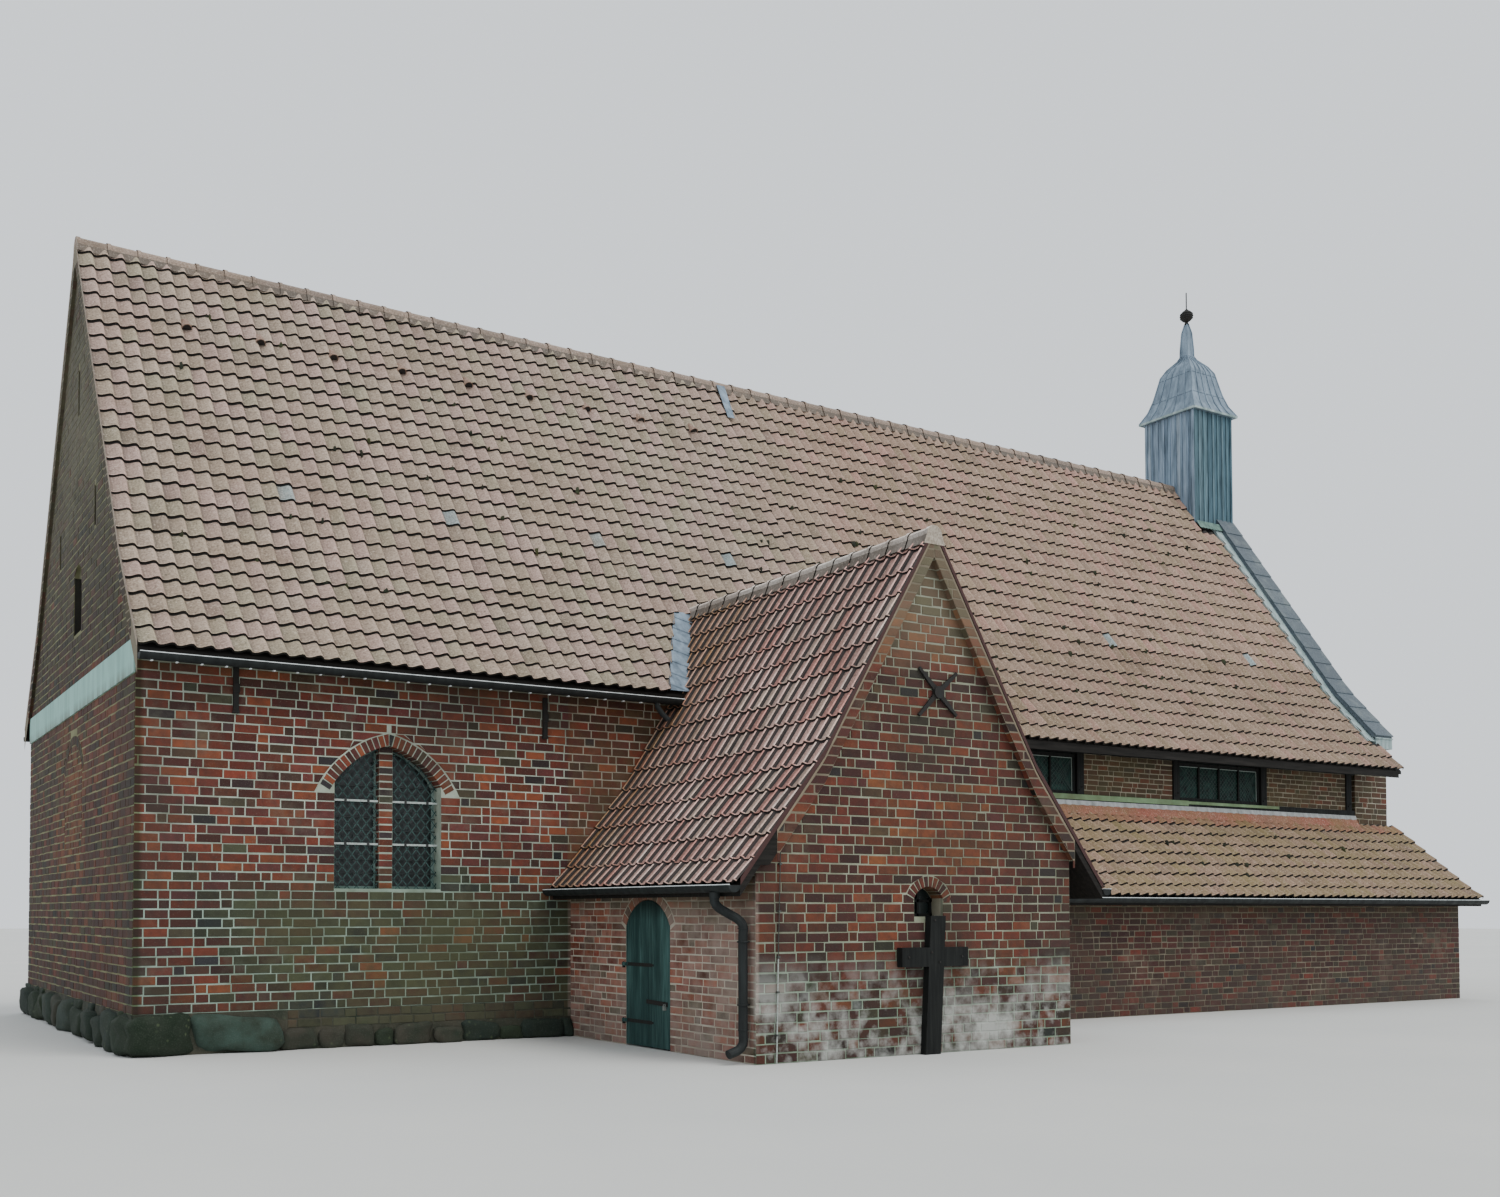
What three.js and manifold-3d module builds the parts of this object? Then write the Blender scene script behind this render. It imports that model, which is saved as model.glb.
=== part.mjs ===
// A small brick village church: a long steep-roofed nave, a narrow aisle under its own lean-to
// roof, a gabled porch with one plank door, and a board-clad ridge turret at the east gable.
// Millimetres. X runs east along the nave, Y runs north, Z is up from the ground.
// The origin is on the ground under the middle of the nave.
import * as THREE from 'three';
import { mergeVertices } from 'three/addons/utils/BufferGeometryUtils.js';
import Module from 'manifold-3d';

const wasm = await Module();
wasm.setup();

// Driving dimensions. A tilt is the rise of a roof over its run.
const gap = 0.3;

const nave = {
  length: 23450,
  width: 7750,
  wall: 900,
  gableTop: 460,
  eastWall: 1000,
  footing: 460,
  floor: 150,
  plinth: 150,
};

// The main roof is steep down to its bend and flatter from there to the eaves
const roof = {
  ridge: 10655,
  upperTilt: 1.565,
  lowerTilt: 1.2,
  bend: 3125,
  depth: 300,
  edge: 130,
  westOverhang: 50,
  eastStop: 385,
  endEdge: 60,
  naveEave: 330,
  aisleEave: 520,
  seamFromWest: 10350,
  ridgeTile: 150,
  ridgeDrop: 75,
};

const band = { bottom: 4240, top: 4630, proud: 20 };

const naveWindow = {
  fromWest: 2976,
  width: 1365,
  sill: 1869,
  springing: 3130,
  crown: 3600,
  arcRadius: 1176,
  mullion: 170,
  mullionDepth: 120,
  setBack: 100,
  glass: 24,
};
const northWindowsFromWest = [2976, 11725, 20474];

const slits = [
  { y: -145, bottom: 8250, top: 8860, width: 120 },
  { y: -1395, bottom: 6470, top: 6980, width: 120 },
  { y: 1225, bottom: 6450, top: 6950, width: 120 },
];
const atticOpening = { y: -215, bottom: 5300, top: 6220, width: 560, rise: 130 };

const clerestory = {
  thickness: 180,
  post: 160,
  postsFromWest: [10240, 12600, 14967, 17335, 19709, 22253],
  sillBottom: 3150,
  sillTop: 3500,
  plateBottom: 4180,
  panel: 120,
  glass: 30,
};

const aisle = {
  depth: 1313,
  wall: 500,
  roofTop: 3225,
  tilt: 0.871,
  roofDepth: 180,
  roofEdge: 110,
  eave: 322,
  eastOverhang: 160,
};

// The porch walls stand a little west of the porch roof's ridge; its roof bends as the main one does
const porch = {
  westFromWest: 5478,
  eastFromWest: 10157,
  ridgeFromWest: 7925,
  length: 4010,
  wall: 600,
  ridge: 5915,
  upperTilt: 1.66,
  lowerTilt: 1.25,
  bend: 1592,
  reach: 2710,
  depth: 260,
  edge: 120,
  verge: 100,
  ridgeTile: 120,
  ridgeDrop: 55,
};

const door = {
  width: 980,
  northJamb: 1386,
  springing: 1430,
  rise: 310,
  side: 8,
  foot: 15,
  thickness: 45,
  hinges: [280, 950],
  axisOut: 25,
  axisBeside: 20,
};

const hinge = {
  pin: 8,
  eye: 8.6,
  knuckle: 18,
  collar: 15,
  collarHeight: 25,
  height: 40,
  pinAbove: 8,
  arm: 14,
  strapLength: 620,
  strapThickness: 6,
};

const gableWindow = {
  fromWest: 7885,
  width: 430,
  sill: 1540,
  springing: 1750,
  rise: 130,
  glass: 20,
  setBack: 200,
};
const innerArch = { width: 1300, springing: 2000, rise: 330 };

const gutter = { radius: 75, thickness: 8, drop: 5, naveDrop: 75, clear: 20 };
const downpipe = {
  radius: 50,
  out: 85,
  fromCorner: 110,
  outletFromVerge: 360,
  neckTop: 150,
  neckFoot: 290,
  bendTop: 320,
  shoeHeight: 110,
  shoeReach: 190,
};

const turret = {
  side: 1192,
  board: 70,
  top: 12194,
  capEdge: 25,
};
// Half width and height above the cap's edge, from the eave up to the foot of the spirelet
const capCurve = [
  [700, 0], [572, 229], [492, 478], [437, 727], [385, 975], [293, 1138], [139, 1310], [97, 1400],
];
const spirelet = [[93, 1568], [70, 1922], [26, 2113]];
const finial = { ballRadius: 130, ballHeight: 14517, rodRadius: 12, rodTop: 15033, steps: 12 };

const coping = { bottom: 125, top: 225, overhang: 45, pastWall: 100 };

const woodenCross = {
  footFromWest: 7860,
  lean: 90,
  height: 1550,
  shaft: 225,
  armLength: 990,
  armBottom: 980,
  armHeight: 215,
  thickness: 90,
};

// Tools that cut a wall reach this far out of it on both sides
const spare = 50;

// One rafter line of a roof that bends once: heights over the distance from the ridge, and back
function rafterLine({ ridge, bend, upperTilt, lowerTilt }) {
  const bendHeight = ridge - upperTilt * bend;
  return {
    ridge,
    bend,
    bendHeight,
    top: (d) => (d <= bend ? ridge - upperTilt * d : bendHeight - lowerTilt * (d - bend)),
    reach: (z) => (z >= bendHeight ? (ridge - z) / upperTilt : bend + (bendHeight - z) / lowerTilt),
  };
}

// Places worked out from the driving dimensions
const west = -nave.length / 2;
const east = nave.length / 2;
const south = -nave.width / 2;
const north = nave.width / 2;
const mainLine = rafterLine(roof);
const porchLine = rafterLine(porch);
const roofTop = (y) => mainLine.top(Math.abs(y));
const wallTop = roofTop(north) - roof.edge;
const aisleTop = (y) => aisle.roofTop + aisle.tilt * (y - south);
const aisleFace = south - aisle.depth;
const aisleEave = aisleFace - aisle.eave;
const aisleWallTop = aisleTop(aisleFace) - aisle.roofEdge;
const porchWest = west + porch.westFromWest;
const porchEast = west + porch.eastFromWest;
const porchRidge = west + porch.ridgeFromWest;
const porchFront = south - porch.length;
const porchTop = (x) => porchLine.top(Math.abs(x - porchRidge));
const porchSeat = (face) => porchTop(face) - porch.edge;
const archMiddle = (porchWest + porchEast) / 2;
const seam = west + roof.seamFromWest;
const eastFace = east - nave.eastWall;
const parapetFace = east - nave.gableTop;
const doorNorth = south - door.northJamb;
const doorSouth = doorNorth - door.width;
const doorMiddle = (doorNorth + doorSouth) / 2;

const finish = (color, roughness, metalness = 0) =>
  new THREE.MeshStandardMaterial({ color, roughness, metalness });
const brick = finish(0x8a4034, 0.9);
const fieldstone = finish(0x5c635c, 0.85);
const plaster = finish(0xbfcac8, 0.8);
const roofTile = finish(0x9c8070, 0.85);
const porchTile = finish(0x96604f, 0.8);
const timber = finish(0x26241f, 0.8);
const boards = finish(0x47585a, 0.75);
const paint = finish(0x1f322f, 0.6);
const zinc = finish(0x8296a5, 0.45, 0.8);
const slate = finish(0x56606a, 0.6);
const darkMetal = finish(0x20282a, 0.5, 0.6);
const glazing = finish(0x26302f, 0.2);
const flooring = finish(0x8c5a48, 0.9);

const church = new THREE.Group();

// Adds one named sub-part to the church
function add(name, geometry, material) {
  const mesh = new THREE.Mesh(geometry, material);
  mesh.name = name;
  church.add(mesh);
}

// Solids and how they are joined and cut
function toSolid(geometry) {
  const plain = geometry.clone();
  plain.deleteAttribute('normal');
  plain.deleteAttribute('uv');
  const merged = mergeVertices(plain, 1e-3);
  return new wasm.Manifold(new wasm.Mesh({
    numProp: 3,
    vertProperties: new Float32Array(merged.attributes.position.array),
    triVerts: new Uint32Array(merged.index.array),
  }));
}

function toGeometry(solid) {
  const mesh = solid.getMesh();
  const geometry = new THREE.BufferGeometry();
  geometry.setAttribute('position', new THREE.BufferAttribute(mesh.vertProperties, 3));
  geometry.setIndex(new THREE.BufferAttribute(mesh.triVerts, 1));
  return geometry;
}

function cut(base, ...tools) {
  const left = tools.reduce((solid, tool) => solid.subtract(toSolid(tool)), toSolid(base));
  return toGeometry(left);
}

function join(...pieces) {
  const [first, ...rest] = pieces.map(toSolid);
  return toGeometry(rest.reduce((solid, piece) => solid.add(piece), first));
}

function box([x0, x1], [y0, y1], [z0, z1]) {
  const geometry = new THREE.BoxGeometry(x1 - x0, y1 - y0, z1 - z0);
  return geometry.translate((x0 + x1) / 2, (y0 + y1) / 2, (z0 + z1) / 2);
}

function extrude(outline, length) {
  const shape = Array.isArray(outline)
    ? new THREE.Shape(outline.map(([u, v]) => new THREE.Vector2(u, v)))
    : outline;
  return new THREE.ExtrudeGeometry(shape, { depth: length, bevelEnabled: false, curveSegments: 10 });
}

// Outline in (y, z), run along X
function alongX(outline, [x0, x1]) {
  const turn = new THREE.Matrix4().makeBasis(
    new THREE.Vector3(0, 1, 0),
    new THREE.Vector3(0, 0, 1),
    new THREE.Vector3(1, 0, 0),
  );
  return extrude(outline, x1 - x0).applyMatrix4(turn).translate(x0, 0, 0);
}

// Outline in (x, z), run along Y
function alongY(outline, [y0, y1]) {
  return extrude(outline, y1 - y0).rotateX(Math.PI / 2).translate(0, y1, 0);
}

// Opening outlines, centred on u: straight sides under a segmental or a pointed arch
function segmentalOpening(u, width, bottom, springing, rise) {
  const half = width / 2;
  const radius = (half * half + rise * rise) / (2 * rise);
  const reach = Math.asin(half / radius);
  const shape = new THREE.Shape();
  shape.moveTo(u - half, bottom);
  shape.lineTo(u + half, bottom);
  shape.lineTo(u + half, springing);
  shape.absarc(u, springing + rise - radius, radius, Math.PI / 2 - reach, Math.PI / 2 + reach);
  shape.lineTo(u - half, bottom);
  return shape;
}

// Each half of a pointed arch is one flat arc from the springing to the crown
function pointedOpening(u, width, bottom, springing, crown, radius) {
  const half = width / 2;
  const rise = crown - springing;
  const chord = Math.hypot(half, rise);
  const back = Math.sqrt(radius * radius - chord * chord / 4) / chord;
  const side = half / 2 - rise * back;
  const middle = (springing + crown) / 2 - half * back;
  const start = Math.atan2(springing - middle, half - side);
  const end = Math.atan2(crown - middle, -side);
  const shape = new THREE.Shape();
  shape.moveTo(u - half, bottom);
  shape.lineTo(u + half, bottom);
  shape.lineTo(u + half, springing);
  shape.absarc(u + side, middle, radius, start, end);
  shape.absarc(u - side, middle, radius, Math.PI - end, Math.PI - start);
  shape.lineTo(u - half, bottom);
  return shape;
}

// One roof slope as an outline in (distance from the ridge, z), seated flat on the wall's top
function slopeOutline(line, { depth, edge, face, eave }) {
  const seat = line.top(face) - edge;
  return [
    [gap / 2, line.top(gap / 2)],
    [gap / 2, line.ridge - depth],
    [line.bend, line.bendHeight - depth],
    [line.reach(seat + depth), seat],
    [face, seat],
    [eave, line.top(eave) - edge],
    [eave, line.top(eave)],
    [line.bend, line.bendHeight],
  ];
}

const mirrored = (outline) => outline.map(([u, v]) => [-u, v]).reverse();
const shifted = (outline, by) => outline.map(([u, v]) => [u + by, v]);

// Half-round ridge tiles bedded on both slopes, centred on u
function ridgeOutline(u, line, radius, drop) {
  const lift = 2 * gap;
  const shape = new THREE.Shape();
  shape.moveTo(u, line.ridge + lift);
  shape.lineTo(u + radius, line.top(radius) + lift);
  shape.lineTo(u + radius, line.ridge - drop);
  shape.absarc(u, line.ridge - drop, radius, 0, Math.PI);
  shape.lineTo(u - radius, line.top(radius) + lift);
  shape.closePath();
  return shape;
}

function addFloor() {
  const inner = [west + nave.wall + gap, eastFace - gap];
  const passage = [archMiddle - innerArch.width / 2 + gap, archMiddle + innerArch.width / 2 - gap];
  const level = [0, nave.floor];
  add('floor', join(
    box(inner, [south + nave.wall + gap, north - nave.wall - gap], level),
    box([porchEast + gap, eastFace - gap], [aisleFace + aisle.wall + gap, south + nave.wall + 1], level),
    box([eastFace - 1, east - aisle.wall - gap], [aisleFace + aisle.wall + gap, south - gap], level),
    box([porchWest + porch.wall + gap, porchEast - porch.wall - gap],
      [porchFront + porch.wall + gap, south - gap], level),
    box(passage, [south - 1, south + nave.wall + 1], level),
  ), flooring);
}

function addFootings() {
  const level = [0, nave.footing];
  const out = nave.plinth;
  add('footing_front', box([west + nave.wall + gap, porchWest - gap],
    [south - out, south + nave.wall], level), fieldstone);
  add('footing_west', box([west - out, west + nave.wall], [south - out, north + out], level), fieldstone);
  add('footing_north', box([west + nave.wall + gap, eastFace - gap],
    [north - nave.wall, north + out], level), fieldstone);
}

// A two-light pointed window in a wall along X: the opening, the brick mullion and the pane
// that closes both lights behind it. Inwards is 1 or -1 along Y.
function windowOpening(centre, depth, trim = 0) {
  const { width, sill, springing, crown, arcRadius } = naveWindow;
  const outline = pointedOpening(centre, width - 2 * trim, sill + trim, springing, crown - trim, arcRadius);
  return alongY(outline, depth);
}

const ordered = (a, b) => [Math.min(a, b), Math.max(a, b)];
const through = ([low, high]) => [low - spare, high + spare];

function mullion(centre, outerFace, inwards) {
  const near = outerFace + inwards * naveWindow.setBack;
  const half = naveWindow.mullion / 2;
  const bonded = 10;
  return box([centre - half, centre + half], ordered(near, near + inwards * naveWindow.mullionDepth),
    [naveWindow.sill - bonded, naveWindow.crown + bonded]);
}

function windowPane(centre, outerFace, inwards) {
  const near = outerFace + inwards * (naveWindow.setBack + naveWindow.mullionDepth + gap);
  return windowOpening(centre, ordered(near, near + inwards * naveWindow.glass), gap);
}

function windowedWall(alongWall, depth, level, centres, outerFace, inwards) {
  const blank = box(alongWall, depth, level);
  const openings = centres.map((centre) => windowOpening(centre, through(depth)));
  return join(cut(blank, ...openings), ...centres.map((centre) => mullion(centre, outerFace, inwards)));
}

function addNaveWalls() {
  const archWest = archMiddle - innerArch.width / 2;
  const archEast = archMiddle + innerArch.width / 2;
  const depth = [south, south + nave.wall];
  const top = wallTop - gap;
  const window = west + naveWindow.fromWest;
  add('nave_front_wall', join(
    windowedWall([west + nave.wall + gap, archWest], depth, [nave.footing + gap, top], [window], south, 1),
    box([porchWest + gap, archWest], depth, [0, nave.footing + 1]),
  ), brick);
  add('nave_wall_beside_arch', box([archEast, porchEast], depth, [0, top]), brick);
  const arch = segmentalOpening(archMiddle, innerArch.width, 0, innerArch.springing, innerArch.rise);
  const headBlank = box([archWest + gap, archEast - gap], depth, [innerArch.springing, top]);
  add('inner_arch_head', cut(headBlank, alongY(arch, through(depth))), brick);
  const centres = northWindowsFromWest.map((fromWest) => west + fromWest);
  add('north_wall', windowedWall([west + nave.wall + gap, eastFace - gap], [north - nave.wall, north],
    [nave.footing + gap, top], centres, north, -1), brick);
  add('front_window', windowPane(window, south, 1), glazing);
  centres.forEach((centre, index) => {
    add(`north_window_${index + 1}`, windowPane(centre, north, -1), glazing);
  });
}

// A gable: thick to the eaves, thinner above, its top parallel to the roof
function gableWall(outerX, inwards, foot, lowerDepth, rise) {
  const top = wallTop - gap;
  const lower = box(ordered(outerX, outerX + inwards * lowerDepth), [south, north], [foot, top]);
  const shoulder = Math.min(north, mainLine.reach(top - rise));
  const half = [
    [north, top - 1], [north, top],
    [shoulder, mainLine.top(shoulder) + rise],
    [mainLine.bend, mainLine.bendHeight + rise],
  ];
  const upper = [...half, [0, roof.ridge + rise], ...mirrored(half)];
  return join(lower, alongX(upper, ordered(outerX, outerX + inwards * nave.gableTop)));
}

function addGables() {
  const westDepth = through([west, west + nave.wall]);
  const slitTools = slits.map((slit) => box(westDepth,
    [slit.y - slit.width / 2, slit.y + slit.width / 2], [slit.bottom, slit.top]));
  const attic = alongX(segmentalOpening(atticOpening.y, atticOpening.width, atticOpening.bottom,
    atticOpening.top - atticOpening.rise, atticOpening.rise), westDepth);
  const westGable = gableWall(west, 1, nave.footing + gap, nave.wall, -roof.depth - 2 * gap);
  add('west_gable', cut(westGable, ...slitTools, attic), brick);
  const bandDepth = [west - band.proud, west - gap];
  add('plaster_band', box(bandDepth, [south, north], [band.bottom, band.top]), plaster);

  const eastGable = gableWall(east, -1, 0, nave.eastWall, coping.bottom);
  const half = turret.side / 2 + gap;
  const saddle = alongX([
    [-half, roof.ridge * 2], [-half, roofTop(turret.side / 2)],
    [0, roof.ridge], [half, roofTop(turret.side / 2)], [half, roof.ridge * 2],
  ].reverse(), through([parapetFace, east]));
  const opening = windowOpening(0, through([-east, -eastFace])).rotateZ(Math.PI / 2);
  const bar = mullion(0, -east, 1).rotateZ(Math.PI / 2);
  add('east_gable', join(cut(eastGable, saddle, opening), bar), brick);
  add('east_window', windowPane(0, -east, 1).rotateZ(Math.PI / 2), glazing);
}

function addCopings() {
  const inner = turret.side / 2 + gap;
  const outer = north + coping.pastWall;
  const places = [inner, mainLine.bend, outer];
  const bottom = places.map((d) => [d, mainLine.top(d) + coping.bottom + 2 * gap]);
  const top = places.map((d) => [d, mainLine.top(d) + coping.top]);
  const outline = [...bottom, ...top.reverse()];
  const across = [parapetFace - coping.overhang, east + coping.overhang];
  add('coping_north', alongX(outline, across), slate);
  add('coping_south', alongX(mirrored(outline), across), slate);
}

// The space that the porch roof and all beneath it takes up, a touch larger
function porchEnvelope([x0, x1], [y0, y1]) {
  const skin = 3 * gap;
  const far = porch.reach + 5;
  const half = [
    [far, -spare],
    [far, porchLine.top(far) + skin],
    [porchLine.bend, porchLine.bendHeight + skin],
  ];
  const outline = [...half, [0, porch.ridge + skin], ...mirrored(half)];
  const clipped = toSolid(alongY(shifted(outline, porchRidge), [y0, y1]))
    .intersect(toSolid(box([x0, x1], through([y0, y1]), [-2 * spare, porch.ridge * 2])));
  return toGeometry(clipped);
}

// The thin strip of eave that runs on past the gable's parapet, in front of the wall below it
function eaveEnd(reach) {
  const inner = north + gap;
  const outline = [
    [inner, mainLine.top(inner)], [inner, mainLine.top(inner) - roof.endEdge],
    [reach, mainLine.top(reach) - roof.endEdge], [reach, mainLine.top(reach)],
  ];
  const bonded = 1;
  return { outline, along: [parapetFace - gap - bonded, east - roof.eastStop] };
}

function addMainRoof() {
  const common = { depth: roof.depth, edge: roof.edge, face: north };
  const along = [west - roof.westOverhang, parapetFace - gap];
  const reach = { aisle: north + roof.aisleEave, nave: north + roof.naveEave };
  const front = alongX(mirrored(slopeOutline(mainLine, { ...common, eave: reach.aisle })), along);
  const beyondEaves = 1000;
  const shortEave = box([west - beyondEaves, seam],
    [south - beyondEaves, -reach.nave], [roof.ridge / 4, roof.ridge / 2]);
  const underPorch = porchEnvelope([porchRidge - porch.length, porchRidge + porch.length],
    [south - beyondEaves, south]);
  const frontEnd = eaveEnd(reach.aisle);
  add('main_roof_front', join(
    cut(front, shortEave, underPorch),
    alongX(mirrored(frontEnd.outline), frontEnd.along),
  ), roofTile);
  const back = alongX(slopeOutline(mainLine, { ...common, eave: reach.nave }), along);
  const backEnd = eaveEnd(reach.nave);
  add('main_roof_back', join(back, alongX(backEnd.outline, backEnd.along)), roofTile);
  add('main_ridge_tiles', alongX(ridgeOutline(0, mainLine, roof.ridgeTile, roof.ridgeDrop),
    [west - roof.westOverhang, east - turret.side - gap]), roofTile);
}

function addClerestory() {
  const { thickness, post, sillBottom, sillTop, plateBottom } = clerestory;
  const depth = [south, south + thickness];
  const along = [porchEast + gap, eastFace - gap];
  const half = post / 2;
  const centres = clerestory.postsFromWest.map((fromWest) => west + fromWest);
  const posts = centres.map((x) => box([x - half, x + half], depth, [nave.floor + gap, wallTop - gap]));
  add('clerestory_frame', join(
    box(along, depth, [plateBottom, wallTop - gap]),
    box(along, depth, [sillBottom, sillTop]),
    ...posts,
  ), timber);
  const mid = south + thickness / 2;
  const bays = centres.slice(1).map((right, index) => [centres[index] + half + gap, right - half - gap]);
  const level = [sillTop + gap, plateBottom - gap];
  bays.forEach((bay, index) => {
    const brickBay = index % 2 === 0;
    const thin = (brickBay ? clerestory.panel : clerestory.glass) / 2;
    const name = brickBay ? `clerestory_panel_${index / 2 + 1}` : `clerestory_window_${(index + 1) / 2}`;
    add(name, box(bay, [mid - thin, mid + thin], level), brickBay ? brick : glazing);
  });
}

function addAisle() {
  add('aisle_front_wall', box([porchEast + gap, east - aisle.wall - gap],
    [aisleFace, aisleFace + aisle.wall], [0, aisleWallTop - gap]), brick);
  const under = aisle.roofTop - aisle.roofDepth - 2 * gap;
  const seatY = south - (under - aisleWallTop) / aisle.tilt;
  const endWall = [
    [aisleFace, 0], [south - gap, 0], [south - gap, under - aisle.tilt * gap],
    [seatY, aisleWallTop - gap], [aisleFace, aisleWallTop - gap],
  ];
  add('aisle_east_wall', alongX(endWall, [east - aisle.wall, east]), brick);

  const seat = (aisle.roofTop - aisle.roofDepth - aisleWallTop) / aisle.tilt;
  const outline = [
    [south - gap, aisleTop(south - gap)],
    [aisleEave, aisleTop(aisleEave)],
    [aisleEave, aisleTop(aisleEave) - aisle.roofEdge],
    [aisleFace, aisleWallTop],
    [south - seat, aisleWallTop],
    [south - gap, aisleTop(south - gap) - aisle.roofDepth],
  ];
  const full = alongX(outline, [porchRidge + porch.wall, east + aisle.eastOverhang]);
  const porchSide = porchEnvelope([porchRidge, porchEast + gap], through([aisleEave, south]));
  add('aisle_roof', cut(full, porchSide), roofTile);
}

// Everything of the porch roof that the nave and the aisle roof leave free
function porchRoofLimits() {
  const skin = 2 * gap;
  const wallFace = south - gap;
  const underNave = alongX([
    [wallFace, -spare], [0, -spare], [0, roof.ridge + skin],
    [-mainLine.bend, mainLine.bendHeight + skin], [wallFace, roofTop(wallFace) + skin],
  ], [porchRidge - porch.length, porchRidge + porch.length]);
  const inside = south + spare;
  const pastEave = aisleEave - gap;
  const underAisle = alongX([
    [pastEave, -spare], [inside, -spare], [inside, aisleTop(inside) + skin],
    [pastEave, aisleTop(pastEave) + skin],
  ], [porchEast, porchEast + porch.reach]);
  return [underNave, underAisle];
}

// Half of the porch gable's outline, from the foot of its side up to the bend of the roof
function gableSide(face) {
  const side = Math.sign(face - porchRidge);
  const under = porch.depth + 2 * gap;
  const seat = porchSeat(face) - gap;
  return [
    [face, 0], [face, seat],
    [porchRidge + side * porchLine.reach(seat + under), seat],
    [porchRidge + side * porchLine.bend, porchLine.bendHeight - under],
  ];
}

function addPorch() {
  const side = [porchFront + porch.wall + gap, south - gap];
  const westWall = [porchWest, porchWest + porch.wall];
  const westTop = porchSeat(porchWest) - gap;
  add('porch_west_wall_north', box(westWall, [doorNorth, side[1]], [0, westTop]), brick);
  add('porch_west_wall_south', box(westWall, [side[0], doorSouth], [0, westTop]), brick);
  const headBlank = box(westWall, [doorSouth + gap, doorNorth - gap], [door.springing, westTop]);
  const doorShape = segmentalOpening(doorMiddle, door.width, 0, door.springing, door.rise);
  add('porch_door_head', cut(headBlank, alongX(doorShape, through(westWall))), brick);
  add('porch_east_wall', box([porchEast - porch.wall, porchEast], side,
    [0, porchSeat(porchEast) - gap]), brick);

  const peak = [porchRidge, porch.ridge - porch.depth - 2 * gap];
  const depth = [porchFront, porchFront + porch.wall];
  const gable = alongY([...gableSide(porchEast), peak, ...gableSide(porchWest).reverse()], depth);
  const windowX = west + gableWindow.fromWest;
  const opening = (trim) => segmentalOpening(windowX, gableWindow.width - 2 * trim,
    gableWindow.sill + trim, gableWindow.springing, gableWindow.rise - trim);
  add('porch_gable', cut(gable, alongY(opening(0), through(depth))), brick);
  const glassY = porchFront + gableWindow.setBack;
  add('porch_window', alongY(opening(gap), [glassY, glassY + gableWindow.glass]), glazing);
}

function addPorchRoof() {
  const common = { depth: porch.depth, edge: porch.edge, eave: porch.reach };
  const along = [porchFront - porch.verge, south / 4];
  const limits = porchRoofLimits();
  const eastSlope = slopeOutline(porchLine, { ...common, face: porchEast - porchRidge });
  const westSlope = mirrored(slopeOutline(porchLine, { ...common, face: porchRidge - porchWest }));
  add('porch_roof_east', cut(alongY(shifted(eastSlope, porchRidge), along), ...limits), porchTile);
  add('porch_roof_west', cut(alongY(shifted(westSlope, porchRidge), along), ...limits), porchTile);
  const ridgeTiles = ridgeOutline(porchRidge, porchLine, porch.ridgeTile, porch.ridgeDrop);
  add('porch_ridge_tiles', cut(alongY(ridgeTiles, along), limits[0]), porchTile);
}

// A half-round open channel, outline centred on (u, v) with its rim level with v
function channelOutline(u, v) {
  const shape = new THREE.Shape();
  shape.absarc(u, v, gutter.radius, Math.PI, 2 * Math.PI);
  shape.absarc(u, v, gutter.radius - gutter.thickness, 2 * Math.PI, Math.PI, true);
  shape.closePath();
  return shape;
}

const porchGutterLevel = porchLine.top(porch.reach) - gutter.drop;
const porchGutterOut = porch.reach + gutter.radius + gap;

function addGutters() {
  const out = gutter.radius + gap;
  const naveEave = north + roof.naveEave;
  const naveLevel = mainLine.top(naveEave) - gutter.naveDrop;
  const meetsPorch = porchRidge - porchLine.reach(naveLevel - gutter.radius - gutter.clear);
  add('nave_gutter', alongX(channelOutline(-naveEave - out, naveLevel),
    [west - roof.westOverhang, meetsPorch]), darkMetal);
  add('north_gutter', alongX(channelOutline(naveEave + out, naveLevel),
    [west - roof.westOverhang, parapetFace]), darkMetal);
  add('aisle_gutter', alongX(channelOutline(aisleEave - out, aisleTop(aisleEave) - gutter.drop),
    [porchRidge + porchGutterOut + out + gutter.clear, east + aisle.eastOverhang]), darkMetal);
  add('porch_gutter_west', alongY(channelOutline(porchRidge - porchGutterOut, porchGutterLevel),
    [porchFront - porch.verge, south - gap]), darkMetal);
  add('porch_gutter_east', alongY(channelOutline(porchRidge + porchGutterOut, porchGutterLevel),
    [porchFront - porch.verge, aisleEave - gap]), darkMetal);
}

// The pipe leaves the gutter's underside, bends in to the wall, runs down and kicks out at its shoe
function addDownpipe() {
  const outletX = porchRidge - porchGutterOut;
  const outletY = porchFront - porch.verge + downpipe.outletFromVerge;
  const wallX = porchWest - downpipe.out;
  const wallY = porchFront + downpipe.fromCorner;
  const start = porchGutterLevel - gutter.radius - gap;
  const soft = downpipe.radius;
  const points = [
    [outletX, outletY, start],
    [outletX, outletY, start - downpipe.neckTop + soft],
    [outletX + soft / 2, outletY - soft / 2, start - downpipe.neckTop],
    [wallX - soft / 2, wallY + soft / 2, start - downpipe.neckFoot],
    [wallX, wallY, start - downpipe.neckFoot - soft],
    [wallX, wallY, start - downpipe.neckFoot - 4 * soft],
    [wallX, wallY, downpipe.bendTop],
    [wallX, wallY, downpipe.bendTop - 2 * soft],
    [wallX - soft, wallY, downpipe.shoeHeight + soft],
    [wallX - downpipe.shoeReach, wallY, downpipe.shoeHeight],
  ].map(([x, y, z]) => new THREE.Vector3(x, y, z));
  const ring = new THREE.Shape().absarc(0, 0, downpipe.radius, 0, 2 * Math.PI);
  const route = new THREE.CatmullRomCurve3(points, false, 'centripetal');
  const pipe = new THREE.ExtrudeGeometry(ring, {
    steps: 44,
    curveSegments: 6,
    extrudePath: route,
    bevelEnabled: false,
  });
  add('porch_downpipe', pipe, darkMetal);
}

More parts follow.
